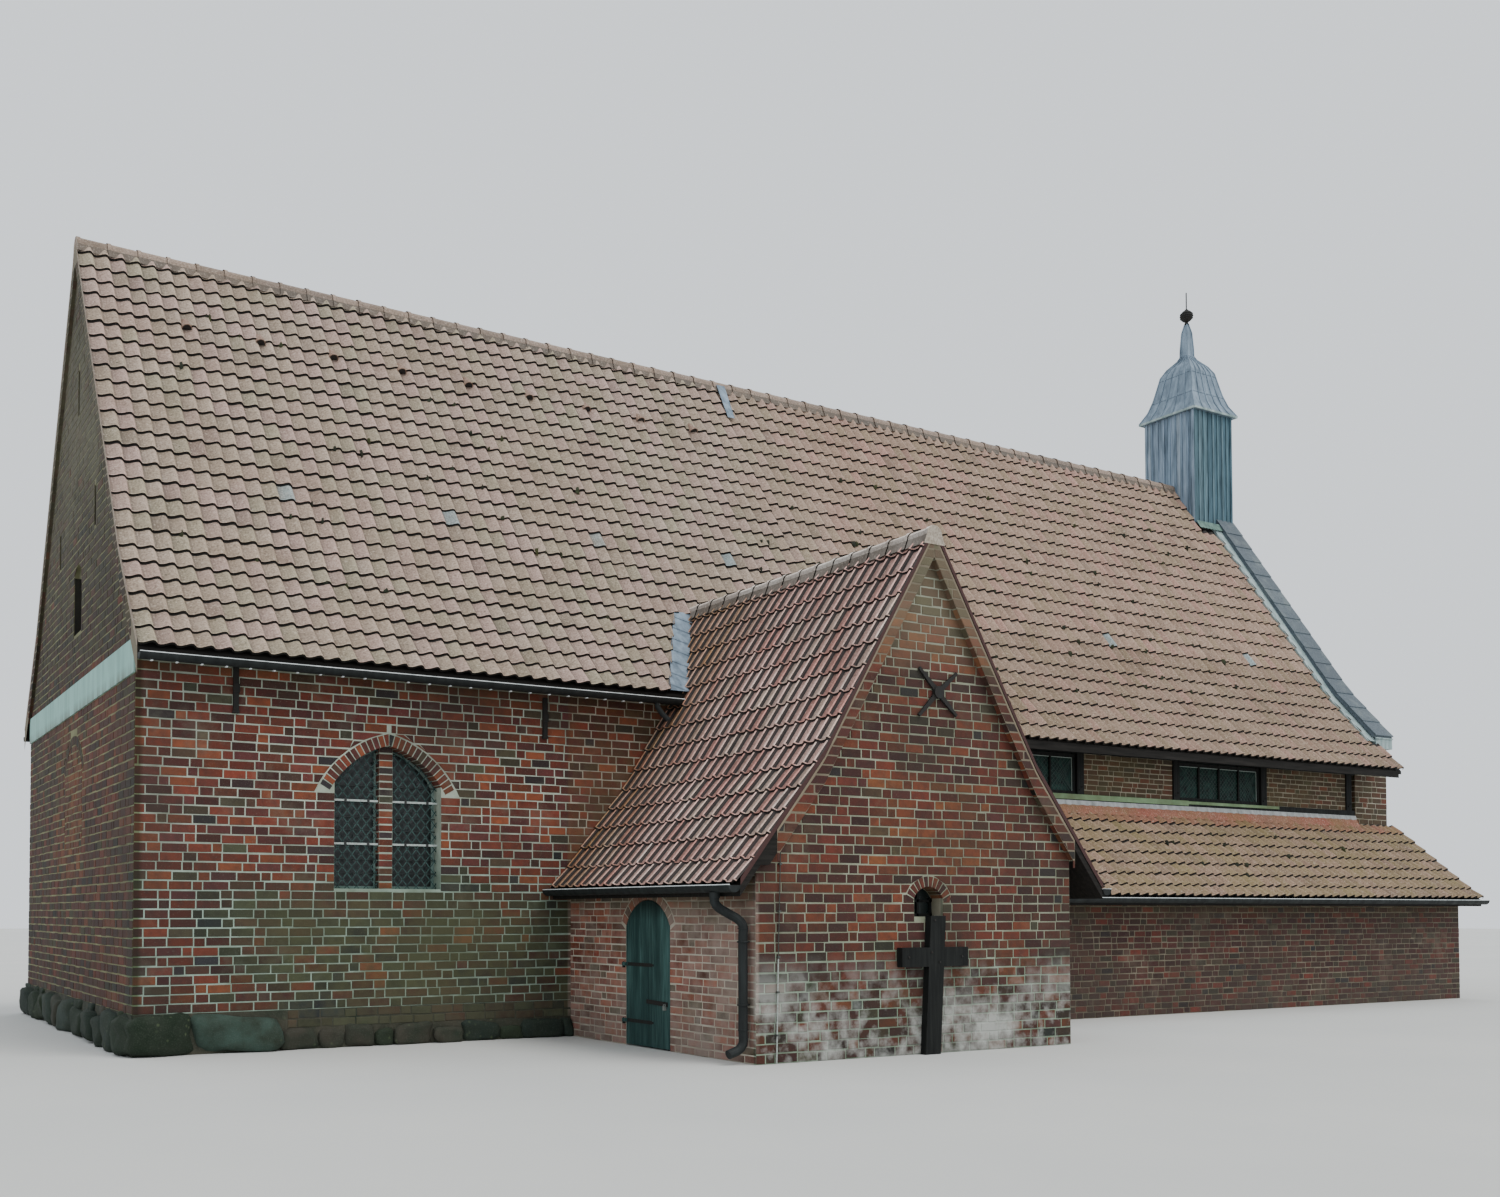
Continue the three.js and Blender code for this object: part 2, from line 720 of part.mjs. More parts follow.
// Door: boards with iron straps, hung on two hooks beside the jamb, opening outwards
const axisX = porchWest - door.axisOut;
const axisY = doorNorth + door.axisBeside;

function cylinder(radius, [z0, z1], sides = 24) {
  const geometry = new THREE.CylinderGeometry(radius, radius, z1 - z0, sides);
  return geometry.rotateX(Math.PI / 2).translate(axisX, axisY, (z0 + z1) / 2);
}

// The strap lies on the boards, steps out past the jamb and ends in an eye around the pin
function doorStrap(height) {
  const level = [height, height + hinge.height];
  const bonded = 1;
  const stepSouth = doorNorth - hinge.height - 5;
  const stepNorth = doorNorth - 2 * door.side;
  const knuckle = join(
    cylinder(hinge.knuckle, level),
    box([axisX - hinge.arm, axisX + hinge.knuckle], [stepSouth, axisY], level),
    box([porchWest - hinge.arm, porchWest + bonded], [stepSouth, stepNorth], level),
  );
  const strap = box([porchWest - hinge.strapThickness, porchWest + bonded],
    [doorNorth - hinge.strapLength, stepNorth], level);
  return cut(join(knuckle, strap), cylinder(hinge.eye, through(level)));
}

function doorHook(height) {
  const foot = height - gap;
  return join(
    cylinder(hinge.pin, [foot - hinge.collarHeight, height + hinge.height + hinge.pinAbove]),
    cylinder(hinge.collar, [foot - hinge.collarHeight, foot]),
    box([axisX, porchWest - gap], [axisY - hinge.pin + 1, axisY + hinge.pin - 1],
      [foot - hinge.collarHeight + 1, foot - 4]),
  );
}

function addDoor() {
  const shape = segmentalOpening(doorMiddle, door.width - 2 * door.side, door.foot,
    door.springing - 2, door.rise - door.side);
  const leaf = alongX(shape, [porchWest, porchWest + door.thickness]);
  add('door_leaf', join(leaf, ...door.hinges.map(doorStrap)), paint);
  add('door_hook_lower', doorHook(door.hinges[0]), darkMetal);
  add('door_hook_upper', doorHook(door.hinges[1]), darkMetal);
}

function addTurretBody() {
  const half = turret.side / 2;
  const foot = (y) => roofTop(y) + 2 * gap;
  const outline = [
    [0, foot(0)], [half, foot(half)], [half, turret.top], [-half, turret.top], [-half, foot(half)],
  ];
  const along = [east - turret.side, east];
  const hollow = box([along[0] + turret.board, along[1] - turret.board],
    [-half + turret.board, half - turret.board], [roofTop(north), turret.top + spare]);
  add('turret_body', cut(alongX(outline, along), hollow), boards);
}

function lathe(profile, sides) {
  const points = profile.map(([r, z]) => new THREE.Vector2(r, z));
  return new THREE.LatheGeometry(points, sides).rotateX(Math.PI / 2);
}

// A lathe of four sides gives the square bell-shaped cap; a round one gives the ball and its rod
function addTurretCap() {
  const middle = east - turret.side / 2;
  const base = turret.top + gap;
  const edge = base + turret.capEdge;
  const corner = ([halfWidth, rise]) => [halfWidth * Math.SQRT2, edge + rise];
  const rise = spirelet[spirelet.length - 1][1];
  const cap = lathe([
    [0, base], [capCurve[0][0] * Math.SQRT2, base],
    ...capCurve.map(corner), ...spirelet.map(corner), [0, edge + rise],
  ], 4);
  add('turret_cap', cap.rotateZ(Math.PI / 4).translate(middle, 0, 0), zinc);

  const { ballRadius, ballHeight, rodRadius, rodTop, steps } = finial;
  const from = -Math.PI / 2 + Math.asin(rodRadius / ballRadius);
  const ball = Array.from({ length: steps + 1 }, (_, step) => {
    const angle = from * (1 - (2 * step) / steps);
    return [ballRadius * Math.cos(angle), ballHeight + ballRadius * Math.sin(angle)];
  });
  const rodFoot = edge + rise + gap;
  const rod = [[0, rodFoot], [rodRadius, rodFoot], ...ball, [rodRadius, rodTop], [0, rodTop]];
  add('turret_finial', lathe(rod, 20).translate(middle, 0, 0), darkMetal);
}

function addWoodenCross() {
  const { footFromWest, lean, height, shaft, armLength, armBottom, armHeight, thickness } = woodenCross;
  const foot = west + footFromWest;
  const depth = [porchFront - thickness, porchFront - gap];
  const armMiddle = foot + lean / 2;
  add('wooden_cross', join(
    alongY([
      [foot - shaft / 2, 0], [foot + shaft / 2, 0],
      [foot + lean + shaft / 2, height], [foot + lean - shaft / 2, height],
    ], depth),
    box([armMiddle - armLength / 2, armMiddle + armLength / 2], depth, [armBottom, armBottom + armHeight]),
  ), timber);
}

addFloor();
addFootings();
addNaveWalls();
addGables();
addCopings();
addMainRoof();
addClerestory();
addAisle();
addPorch();
addPorchRoof();
addGutters();
addDownpipe();
addDoor();
addTurretBody();
addTurretCap();
addWoodenCross();

export default church;
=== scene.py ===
import math
import random

import bmesh
import bpy
import numpy as np
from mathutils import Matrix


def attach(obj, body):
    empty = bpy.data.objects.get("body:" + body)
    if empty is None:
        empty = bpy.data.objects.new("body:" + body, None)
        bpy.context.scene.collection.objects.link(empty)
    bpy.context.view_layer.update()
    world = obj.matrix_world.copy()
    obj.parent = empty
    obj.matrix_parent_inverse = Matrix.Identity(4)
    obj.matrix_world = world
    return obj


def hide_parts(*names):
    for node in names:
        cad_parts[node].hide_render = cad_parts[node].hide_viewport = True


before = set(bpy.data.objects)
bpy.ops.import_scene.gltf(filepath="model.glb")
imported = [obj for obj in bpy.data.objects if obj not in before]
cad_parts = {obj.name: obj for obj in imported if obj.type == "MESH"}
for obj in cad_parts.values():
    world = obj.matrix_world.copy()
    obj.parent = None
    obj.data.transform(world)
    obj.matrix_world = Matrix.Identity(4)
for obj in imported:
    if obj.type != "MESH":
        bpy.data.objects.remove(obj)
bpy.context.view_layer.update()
scene = bpy.context.scene
random_source = random.Random(1350)

# Places of the part, in metres: X east, Y north, Z up, origin on the ground under the nave.
WEST, EAST, SOUTH, NORTH = -11.725, 11.725, -3.875, 3.875
RIDGE, MAIN_BEND = 10.655, 3.125
MAIN_TILTS = (1.565, 1.2)
PARAPET = 11.265
SEAM = -1.375
NAVE_EAVE, AISLE_SIDE_EAVE = 4.205, 4.395
MAIN_VERGE = -11.775
EAVE_END = 11.340
AISLE_FACE, AISLE_EAVE, AISLE_END = -5.188, -5.510, 11.885
AISLE_TOP, AISLE_TILT = 3.225, 0.871
PORCH_WEST, PORCH_EAST, PORCH_RIDGE_X = -6.247, -1.568, -3.800
PORCH_FRONT, PORCH_VERGE = -7.885, -7.985
PORCH_RIDGE, PORCH_BEND, PORCH_REACH = 5.915, 1.592, 2.710
PORCH_TILTS = (1.66, 1.25)
PORCH_BRICKS_TOP, PORCH_ROWS = 5.60, 53
EAVE_BRICKS_TOP, WEST_BRICKS_TOP = 4.70, 10.33
FOOTING_TOP, FOOTING_PROUD = 0.46, 0.15
BAND = (4.24, 4.63)
WINDOW = {"half": 0.6825, "sill": 1.869, "springing": 3.130, "crown": 3.600, "radius": 1.176}
PANE_DEPTH, MULLION_DEPTH, MULLION_HALF = 0.220, (0.10, 0.22), 0.085
FRONT_WINDOW_X = -8.749
NORTH_WINDOWS_X = (-8.749, 0.0, 8.749)
DOOR = {"y": -5.751, "half": 0.49, "springing": 1.43, "rise": 0.31}
GABLE_WINDOW = {"x": -3.840, "half": 0.215, "sill": 1.54, "springing": 1.75, "rise": 0.13}
CLERESTORY_POSTS = (-1.485, 0.875, 3.242, 5.610, 7.984, 10.528)
PANEL_LEVEL, POST_HALF = (3.50, 4.18), 0.08
TURRET_WEST, TURRET_HALF, TURRET_TOP = 10.533, 0.596, 12.194
TURRET_MIDDLE, CAP_EDGE, CAP_HEIGHT = (TURRET_WEST + EAST) / 2, TURRET_TOP + 0.0253, 2.113
BALL_Z, BALL_RADIUS = 14.517, 0.130
SLITS = ((-0.145, 8.25, 8.86), (-1.395, 6.47, 6.98), (1.225, 6.45, 6.95))
SLIT_HALF = 0.06
ATTIC = {"y": -0.215, "half": 0.28, "bottom": 5.30, "top": 6.22, "rise": 0.13}

COURSE = 0.105
AISLE_COURSE = 0.093
PANEL_COURSE = 0.080
PORCH_SIDE_COURSE = 0.086

# How far apart the rows of tiles lie up each slope, and how wide a tile covers.
NAVE_GAUGE, EAST_GAUGE, PORCH_GAUGE, AISLE_GAUGE = 0.2895, 0.322, 0.33, 0.27
MAIN_COVER, PORCH_COVER, AISLE_COVER = 0.206, 0.191, 0.2085

# The camera that sees the part as the photograph does.
CAMERA_PLACE, CAMERA_PITCH, CAMERA_YAW = (-14.987, -19.798, 1.602), 0.030, 0.521
SENSOR_WIDTH, LENS, SHIFT = 36.0, 33.74, (0.1017, 0.1803)
SKY_COLOUR, SKY_STRENGTH = (0.90, 0.95, 1.0, 1.0), 1.2
SUN_COLOUR, SUN_STRENGTH, SUN_WIDTH, SUN_TURN = (1.0, 0.97, 0.92), 1.5, 35, (34, 28)


def bent_roof(ridge, bend, tilts):
    """Height over the distance from the ridge, the distance at a height, of a roof that bends once."""
    bend_height = ridge - tilts[0] * bend

    def top(d):
        return ridge - tilts[0] * d if d <= bend else bend_height - tilts[1] * (d - bend)

    def reach(z):
        return (ridge - z) / tilts[0] if z >= bend_height else bend + (bend_height - z) / tilts[1]

    return top, reach


main_top, main_reach = bent_roof(RIDGE, MAIN_BEND, MAIN_TILTS)
porch_top, porch_reach = bent_roof(PORCH_RIDGE, PORCH_BEND, PORCH_TILTS)


def aisle_top(y):
    return AISLE_TOP + AISLE_TILT * (y - SOUTH)


def main_line(eave):
    """The main roof as a line of (distance out, height) from an eave to the ridge."""
    return [(eave, main_top(eave)), (MAIN_BEND, main_top(MAIN_BEND)), (0.0, RIDGE)]


PORCH_LINE = [(PORCH_REACH, porch_top(PORCH_REACH)), (PORCH_BEND, porch_top(PORCH_BEND)), (0.0, PORCH_RIDGE)]
AISLE_LINE = [(-AISLE_EAVE, aisle_top(AISLE_EAVE)), (-SOUTH, AISLE_TOP)]


def srgb(red, green, blue):
    """A colour given as 0 to 255 per channel, as the linear colour that the shaders use."""
    linear = []
    for channel in (red, green, blue):
        c = channel / 255
        linear.append(c / 12.92 if c <= 0.04045 else ((c + 0.055) / 1.055) ** 2.4)
    return (*linear, 1.0)


def blend(first, second, share):
    return tuple(a + (b - a) * share for a, b in zip(first, second))


def shade(colour, factor):
    return (*(min(1.0, c * factor) for c in colour[:3]), 1.0)


# Materials


class Graph:
    """Small helper that builds one procedural material."""

    def __init__(self, name, roughness, metallic=0.0):
        self.material = bpy.data.materials.new(name)
        self.material.use_nodes = True
        self.tree = self.material.node_tree
        self.shader = self.tree.nodes["Principled BSDF"]
        self.shader.inputs["Roughness"].default_value = roughness
        self.shader.inputs["Metallic"].default_value = metallic
        self.place = self.node("ShaderNodeTexCoord").outputs["Object"]

    def node(self, kind, **settings):
        made = self.tree.nodes.new(kind)
        for key, value in settings.items():
            setattr(made, key, value)
        return made

    def join(self, value, socket):
        if isinstance(value, bpy.types.NodeSocket):
            self.tree.links.new(value, socket)
        else:
            socket.default_value = value

    def tint(self):
        return self.node("ShaderNodeVertexColor", layer_name="tint").outputs["Color"]

    def axes(self):
        return self.node_from("ShaderNodeSeparateXYZ", self.place).outputs

    def node_from(self, kind, value):
        made = self.node(kind)
        self.join(value, made.inputs[0])
        return made

    def stretched(self, scale):
        made = self.node("ShaderNodeMapping")
        self.join(self.place, made.inputs["Vector"])
        made.inputs["Scale"].default_value = scale
        return made.outputs["Vector"]

    def noise(self, scale, detail=3.0, roughness=0.55, vector=None):
        made = self.node("ShaderNodeTexNoise")
        self.join(self.place if vector is None else vector, made.inputs["Vector"])
        made.inputs["Scale"].default_value = scale
        made.inputs["Detail"].default_value = detail
        made.inputs["Roughness"].default_value = roughness
        return made.outputs["Fac"]

    def cells(self, scale, vector=None):
        made = self.node("ShaderNodeTexVoronoi")
        self.join(self.place if vector is None else vector, made.inputs["Vector"])
        made.inputs["Scale"].default_value = scale
        return made.outputs["Distance"]

    def remap(self, value, low, high, to_low=0.0, to_high=1.0):
        made = self.node("ShaderNodeMapRange", clamp=True)
        self.join(value, made.inputs["Value"])
        made.inputs["From Min"].default_value = low
        made.inputs["From Max"].default_value = high
        made.inputs["To Min"].default_value = to_low
        made.inputs["To Max"].default_value = to_high
        return made.outputs["Result"]

    def math(self, operation, first, second=0.0):
        made = self.node("ShaderNodeMath", operation=operation)
        self.join(first, made.inputs[0])
        self.join(second, made.inputs[1])
        return made.outputs[0]

    def product(self, *values):
        result = values[0]
        for value in values[1:]:
            result = self.math("MULTIPLY", result, value)
        return result

    def mix(self, factor, first, second, mode="MIX"):
        made = self.node("ShaderNodeMix", data_type="RGBA", blend_type=mode)
        self.join(factor, made.inputs[0])
        self.join(first, made.inputs[6])
        self.join(second, made.inputs[7])
        return made.outputs[2]

    def bump(self, height, strength, distance=0.01):
        made = self.node("ShaderNodeBump")
        made.inputs["Strength"].default_value = strength
        made.inputs["Distance"].default_value = distance
        self.join(height, made.inputs["Height"])
        self.join(made.outputs["Normal"], self.shader.inputs["Normal"])

    def finish(self, colour, roughness=None):
        self.join(colour, self.shader.inputs["Base Color"])
        if roughness is not None:
            self.join(roughness, self.shader.inputs["Roughness"])
        return self.material


MOSS = srgb(78, 80, 48)
SOOT = srgb(62, 58, 50)
LIME = srgb(188, 190, 184)
HAZE = srgb(176, 160, 148)
# Heights over which the top of the door darkens into painted shadow
DOOR_SHADOW_HEIGHTS = (1.50, 1.68)


def stains_and_painted_shade(g, colour):
    """Stains and darkening over brick and mortar alike, each in the part of the walls that has it; the
    darkening of the west wall and of the lower nave and porch fronts is painted shade.
    """
    x, y, z = g.axes()
    broad = g.noise(0.9, 4.0)
    fine = g.noise(7.0, 4.0)
    ragged = g.math("ADD", g.product(broad, 0.6), g.product(fine, 0.4))

    dim = g.noise(0.55, 5.0, 0.6)
    colour = g.mix(g.remap(dim, 0.46, 0.68, 0.0, 0.50), colour, srgb(58, 46, 38))
    colour = g.mix(g.remap(g.noise(1.6, 5.0, 0.65), 0.56, 0.74, 0.0, 0.28), colour, srgb(132, 122, 104))

    on_west = g.remap(x, WEST + 0.10, WEST + 0.05)
    on_nave_front = g.product(g.remap(y, SOUTH - 0.2, SOUTH - 0.1),
                              g.remap(x, PORCH_WEST - 0.02, PORCH_WEST - 0.05),
                              g.remap(y, SOUTH + 0.4, SOUTH + 0.2))
    on_porch_front = g.remap(y, PORCH_FRONT + 0.05, PORCH_FRONT + 0.02)
    # Factors multiplied in, in turn: painted shade on the west wall, with a warmer tone; a less red nave
    # front; painted shade low on the nave front; painted shade on the porch front below 4.9 m; a less red
    # porch front near its foot and high up
    for share, tone in ((on_west, (0.41, 0.43, 0.27)), (on_nave_front, (0.82, 0.98, 1.0)),
                        (g.product(on_nave_front, g.remap(z, 2.5, 1.9)), (0.72, 0.84, 0.84)),
                        (g.product(on_porch_front, g.remap(z, 4.9, 4.2)), (0.54, 0.60, 0.54)),
                        (g.product(on_porch_front, g.remap(z, 1.4, 0.9)), (0.80, 1.0, 1.0)),
                        (g.product(on_porch_front, g.remap(z, 4.2, 4.9)), (0.84, 0.98, 0.98))):
        colour = g.mix(share, colour, (*tone, 1.0), "MULTIPLY")
    top_of_porch = g.product(on_porch_front, g.remap(z, 4.2, 5.0), 0.42)
    colour = g.mix(top_of_porch, colour, srgb(122, 112, 88))

    upper_gable = g.product(on_west, g.remap(z, 5.4, 7.6), 0.62)
    colour = g.mix(g.product(upper_gable, g.remap(ragged, 0.3, 0.6)), colour, srgb(96, 92, 74))
    low_moss = g.product(on_nave_front, g.remap(z, 2.15, 1.5), g.remap(x, -10.9, -9.9), 0.44)
    colour = g.mix(g.product(low_moss, g.remap(ragged, 0.36, 0.56)), colour, MOSS)
    under_eave = g.product(on_nave_front, g.remap(z, 4.15, 4.6), 0.55)
    colour = g.mix(g.product(under_eave, g.remap(ragged, 0.35, 0.6)), colour, srgb(104, 88, 52))
    foot = g.remap(z, 0.75, 0.2)
    colour = g.mix(g.product(foot, g.remap(ragged, 0.40, 0.6), 0.6), colour, SOOT)
    bloom = g.product(on_porch_front, g.remap(z, 1.15, 0.35), g.remap(ragged, 0.44, 0.60), 0.72)
    colour = g.mix(bloom, colour, LIME)
    on_porch_west = g.product(g.remap(x, PORCH_WEST - 0.06, PORCH_WEST - 0.03),
                              g.remap(x, PORCH_WEST + 0.05, PORCH_WEST + 0.02), g.remap(z, 2.0, 1.6))
    colour = g.mix(g.product(on_porch_west, g.remap(ragged, 0.35, 0.6), 0.42), colour, HAZE)
    porch_eave = g.product(g.remap(x, PORCH_WEST - 0.06, PORCH_WEST - 0.03), g.remap(z, 1.45, 1.85),
                           g.remap(y, PORCH_FRONT + 0.03, PORCH_FRONT + 0.06))
    colour = g.mix(g.product(porch_eave, g.remap(ragged, 0.3, 0.6), 0.55), colour, srgb(84, 78, 46))
    return colour


def brick_material(name, spots=0.30):
    g = Graph(name, 0.88)
    grain = g.noise(60.0, 4.0, 0.65)
    blotch = g.noise(11.0, 3.0)
    colour = g.mix(g.remap(blotch, 0.40, 0.7, 0.0, 0.40), g.tint(), srgb(44, 32, 28))
    colour = g.mix(g.remap(grain, 0.56, 0.82, 0.0, spots), colour, srgb(166, 150, 132))
    colour = stains_and_painted_shade(g, colour)
    g.bump(g.math("ADD", grain, g.product(blotch, 0.6)), 0.55, 0.006)
    return g.finish(colour, g.remap(grain, 0.3, 0.8, 0.82, 0.96))


def mortar_material(name, light, dark):
    g = Graph(name, 0.95)
    sand = g.noise(120.0, 3.0, 0.7)
    patch = g.noise(2.3, 4.0)
    colour = g.mix(g.remap(patch, 0.3, 0.7), light, dark)
    colour = g.mix(g.remap(sand, 0.5, 0.75, 0.0, 0.30), colour, srgb(118, 110, 98))
    colour = stains_and_painted_shade(g, colour)
    g.bump(sand, 0.6, 0.004)
    return g.finish(colour)


def tinted_mortar_material(name):
    g = Graph(name, 0.95)
    sand = g.noise(110.0, 3.0, 0.7)
    patch = g.noise(5.0, 4.0)
    colour = g.mix(g.remap(patch, 0.35, 0.7, 0.0, 0.5), g.tint(), srgb(96, 84, 70))
    colour = g.mix(g.remap(sand, 0.5, 0.75, 0.0, 0.35), colour, srgb(78, 70, 60))
    g.bump(sand, 0.6, 0.004)
    return g.finish(colour)


def tile_material(name, lichen, moss_share=0.0, gloss=0.8):
    """Clay tiles: each with its own tint, spotted with lichen and moss. The tint also carries painted shade
    and painted highlights across each tile, with some dirt in the troughs.
    """
    g = Graph(name, gloss)
    grain = g.noise(38.0, 5.0, 0.7)
    patch = g.noise(0.9, 5.0, 0.6)
    spots = g.cells(9.0)
    colour = g.mix(g.remap(patch, 0.38, 0.66, 0.0, 0.45), g.tint(), lichen)
    colour = g.mix(g.remap(g.noise(2.2, 5.0, 0.7), 0.50, 0.70, 0.0, 0.34), colour, srgb(92, 78, 60))
    colour = g.mix(g.remap(grain, 0.48, 0.66, 0.0, 0.60), colour, srgb(84, 70, 58))
    colour = g.mix(g.remap(grain, 0.44, 0.34, 0.0, 0.50), colour, srgb(206, 192, 176))
    rare = g.product(g.remap(spots, 0.16, 0.06), g.remap(g.noise(3.0), 0.55, 0.62))
    colour = g.mix(g.product(rare, 0.75), colour, srgb(60, 62, 44))
    if moss_share:
        edge = g.remap(g.math("ADD", g.noise(1.7, 4.0), g.product(g.noise(14.0), 0.25)), 0.55, 0.75)
        colour = g.mix(g.product(edge, moss_share), colour, srgb(118, 110, 58))
    # Faces tinted near black, the painted shadow lines, keep their tint bare of lichen, grain and moss
    darkness = g.node_from("ShaderNodeRGBToBW", g.tint()).outputs[0]
    colour = g.mix(g.remap(darkness, 0.03, 0.12), g.tint(), colour)
    g.bump(grain, 0.35, 0.004)
    return g.finish(colour, g.remap(grain, 0.3, 0.8, gloss - 0.1, gloss + 0.12))


def wood_material(name, dark, light, along=2, scale=26.0, roughness=0.78, paint=None):
    """Weathered boards: grain drawn out along one axis, with worn lighter streaks."""
    g = Graph(name, roughness)
    g.shader.inputs["Specular IOR Level"].default_value = 0.25
    stretch = [scale, scale, scale]
    stretch[along] = scale / 14
    fibres = g.noise(1.0, 5.0, 0.6, g.stretched(stretch))
    wide = [scale / 5] * 3
    wide[along] = scale / 50
    streaks = g.noise(1.0, 3.0, 0.5, g.stretched(wide))
    base = g.mix(g.remap(fibres, 0.3, 0.72), dark, light)
    if paint is not None:
        base = g.mix(g.remap(streaks, 0.42, 0.62, 0.15, 0.85), base, paint)
        # The top of a painted leaf darkens into painted shadow
        painted_shadow = g.remap(g.axes()[2], DOOR_SHADOW_HEIGHTS[0], DOOR_SHADOW_HEIGHTS[1], 0.0, 0.7)
        base = g.mix(painted_shadow, base, shade(paint, 0.2))
    tinted = g.mix(1.0, base, g.tint(), "MULTIPLY")
    g.bump(fibres, 0.5, 0.004)
    return g.finish(tinted, g.remap(fibres, 0.3, 0.7, roughness + 0.1, roughness - 0.08))


def metal_material(name, base, stain, roughness, metallic, scale=3.0):
    """Weathered sheet or cast metal: runs of stain down it, duller where it is stained."""
    g = Graph(name, roughness, metallic)
    runs = g.noise(1.0, 4.0, 0.6, g.stretched((scale * 3, scale * 3, scale * 0.7)))
    fine = g.noise(40.0, 3.0)
    colour = g.mix(g.remap(runs, 0.35, 0.7), base, stain)
    colour = g.mix(g.remap(fine, 0.55, 0.8, 0.0, 0.3), colour, shade(stain, 0.6))
    g.bump(fine, 0.12, 0.002)
    return g.finish(colour, g.remap(runs, 0.3, 0.7, roughness, min(1.0, roughness + 0.25)))


def tinted_metal_material(name, roughness):
    g = Graph(name, roughness)
    fine = g.noise(50.0, 4.0)
    colour = g.mix(g.remap(fine, 0.45, 0.75, 0.0, 0.5), g.tint(), srgb(58, 52, 46))
    g.bump(fine, 0.15, 0.002)
    return g.finish(colour)


def stone_material(name):
    g = Graph(name, 0.9)
    g.shader.inputs["Specular IOR Level"].default_value = 0.25
    speck = g.noise(70.0, 4.0, 0.7)
    patch = g.noise(4.0, 4.0)
    lichen = g.cells(12.0)
    colour = g.mix(g.remap(patch, 0.35, 0.7), g.tint(), srgb(42, 50, 40))
    colour = g.mix(g.remap(speck, 0.52, 0.8, 0.0, 0.22), colour, srgb(124, 128, 118))
    spots = g.product(g.remap(lichen, 0.28, 0.10), g.remap(g.noise(2.2), 0.48, 0.6))
    colour = g.mix(g.product(spots, 0.6), colour, srgb(92, 104, 76))
    g.bump(g.math("ADD", speck, g.product(patch, 0.8)), 0.5, 0.012)
    return g.finish(colour)


def slate_material(name):
    g = Graph(name, 0.55)
    layers = g.noise(1.0, 5.0, 0.6, g.stretched((30.0, 9.0, 30.0)))
    patch = g.noise(3.5, 3.0)
    colour = g.mix(g.remap(layers, 0.3, 0.75), g.tint(), srgb(60, 72, 80))
    colour = g.mix(g.remap(patch, 0.5, 0.75, 0.0, 0.5), colour, srgb(118, 128, 126))
    g.bump(layers, 0.35, 0.004)
    return g.finish(colour, g.remap(layers, 0.3, 0.7, 0.45, 0.7))


def plaster_material(name):
    """Limewashed band, streaked with dirt and dirtier at its ragged lower edge."""
    g = Graph(name, 0.9)
    z = g.axes()[2]
    runs = g.noise(1.0, 4.0, 0.6, g.stretched((5.0, 5.0, 0.9)))
    sand = g.noise(55.0, 4.0)
    colour = g.mix(g.remap(runs, 0.4, 0.75, 0.0, 0.55), srgb(148, 188, 180), srgb(104, 132, 122))
    low = g.product(g.remap(z, BAND[0] + 0.14, BAND[0]), g.remap(runs, 0.3, 0.6))
    colour = g.mix(g.product(low, 0.75), colour, srgb(104, 104, 92))
    colour = g.mix(g.remap(sand, 0.6, 0.8, 0.0, 0.35), colour, srgb(150, 152, 146))
    g.bump(g.math("ADD", sand, runs), 0.5, 0.006)
    return g.finish(colour)


def glass_material(name, tone=(34, 46, 46), sheen=0.16, gloss=0.5):
    """Old panes seen from outside by day: dark, each a little different, with soft gloss."""
    g = Graph(name, sheen)
    cells = g.noise(9.0, 2.0)
    waves = g.noise(24.0, 2.0)
    colour = g.mix(g.remap(cells, 0.3, 0.7), srgb(*tone), srgb(16, 24, 24))
    g.bump(waves, 0.15, 0.01)
    g.shader.inputs["Specular IOR Level"].default_value = gloss
    return g.finish(colour, g.remap(cells, 0.3, 0.7, sheen, sheen + 0.2))


def floor_brick_material(name):
    """Brick paving laid flat inside, in a plain running bond."""
    g = Graph(name, 0.85)
    made = g.node("ShaderNodeTexBrick")
    g.join(g.place, made.inputs["Vector"])
    for key, value in (("Scale", 1.0), ("Brick Width", 0.28), ("Row Height", 0.14), ("Mortar Size", 0.006)):
        made.inputs[key].default_value = value
    made.inputs["Color1"].default_value = srgb(140, 84, 66)
    made.inputs["Color2"].default_value = srgb(116, 72, 60)
    made.inputs["Mortar"].default_value = srgb(120, 112, 100)
    colour = g.mix(g.remap(g.noise(30.0), 0.4, 0.8, 0.0, 0.4), made.outputs["Color"], srgb(80, 66, 58))
    g.bump(g.math("SUBTRACT", 1.0, made.outputs["Fac"]), 0.4, 0.005)
    return g.finish(colour)


def stage_material(name):
    g = Graph(name, 0.9)
    colour = g.mix(g.remap(g.noise(0.3), 0.3, 0.7), srgb(206, 206, 202), srgb(200, 201, 198))
    return g.finish(colour)


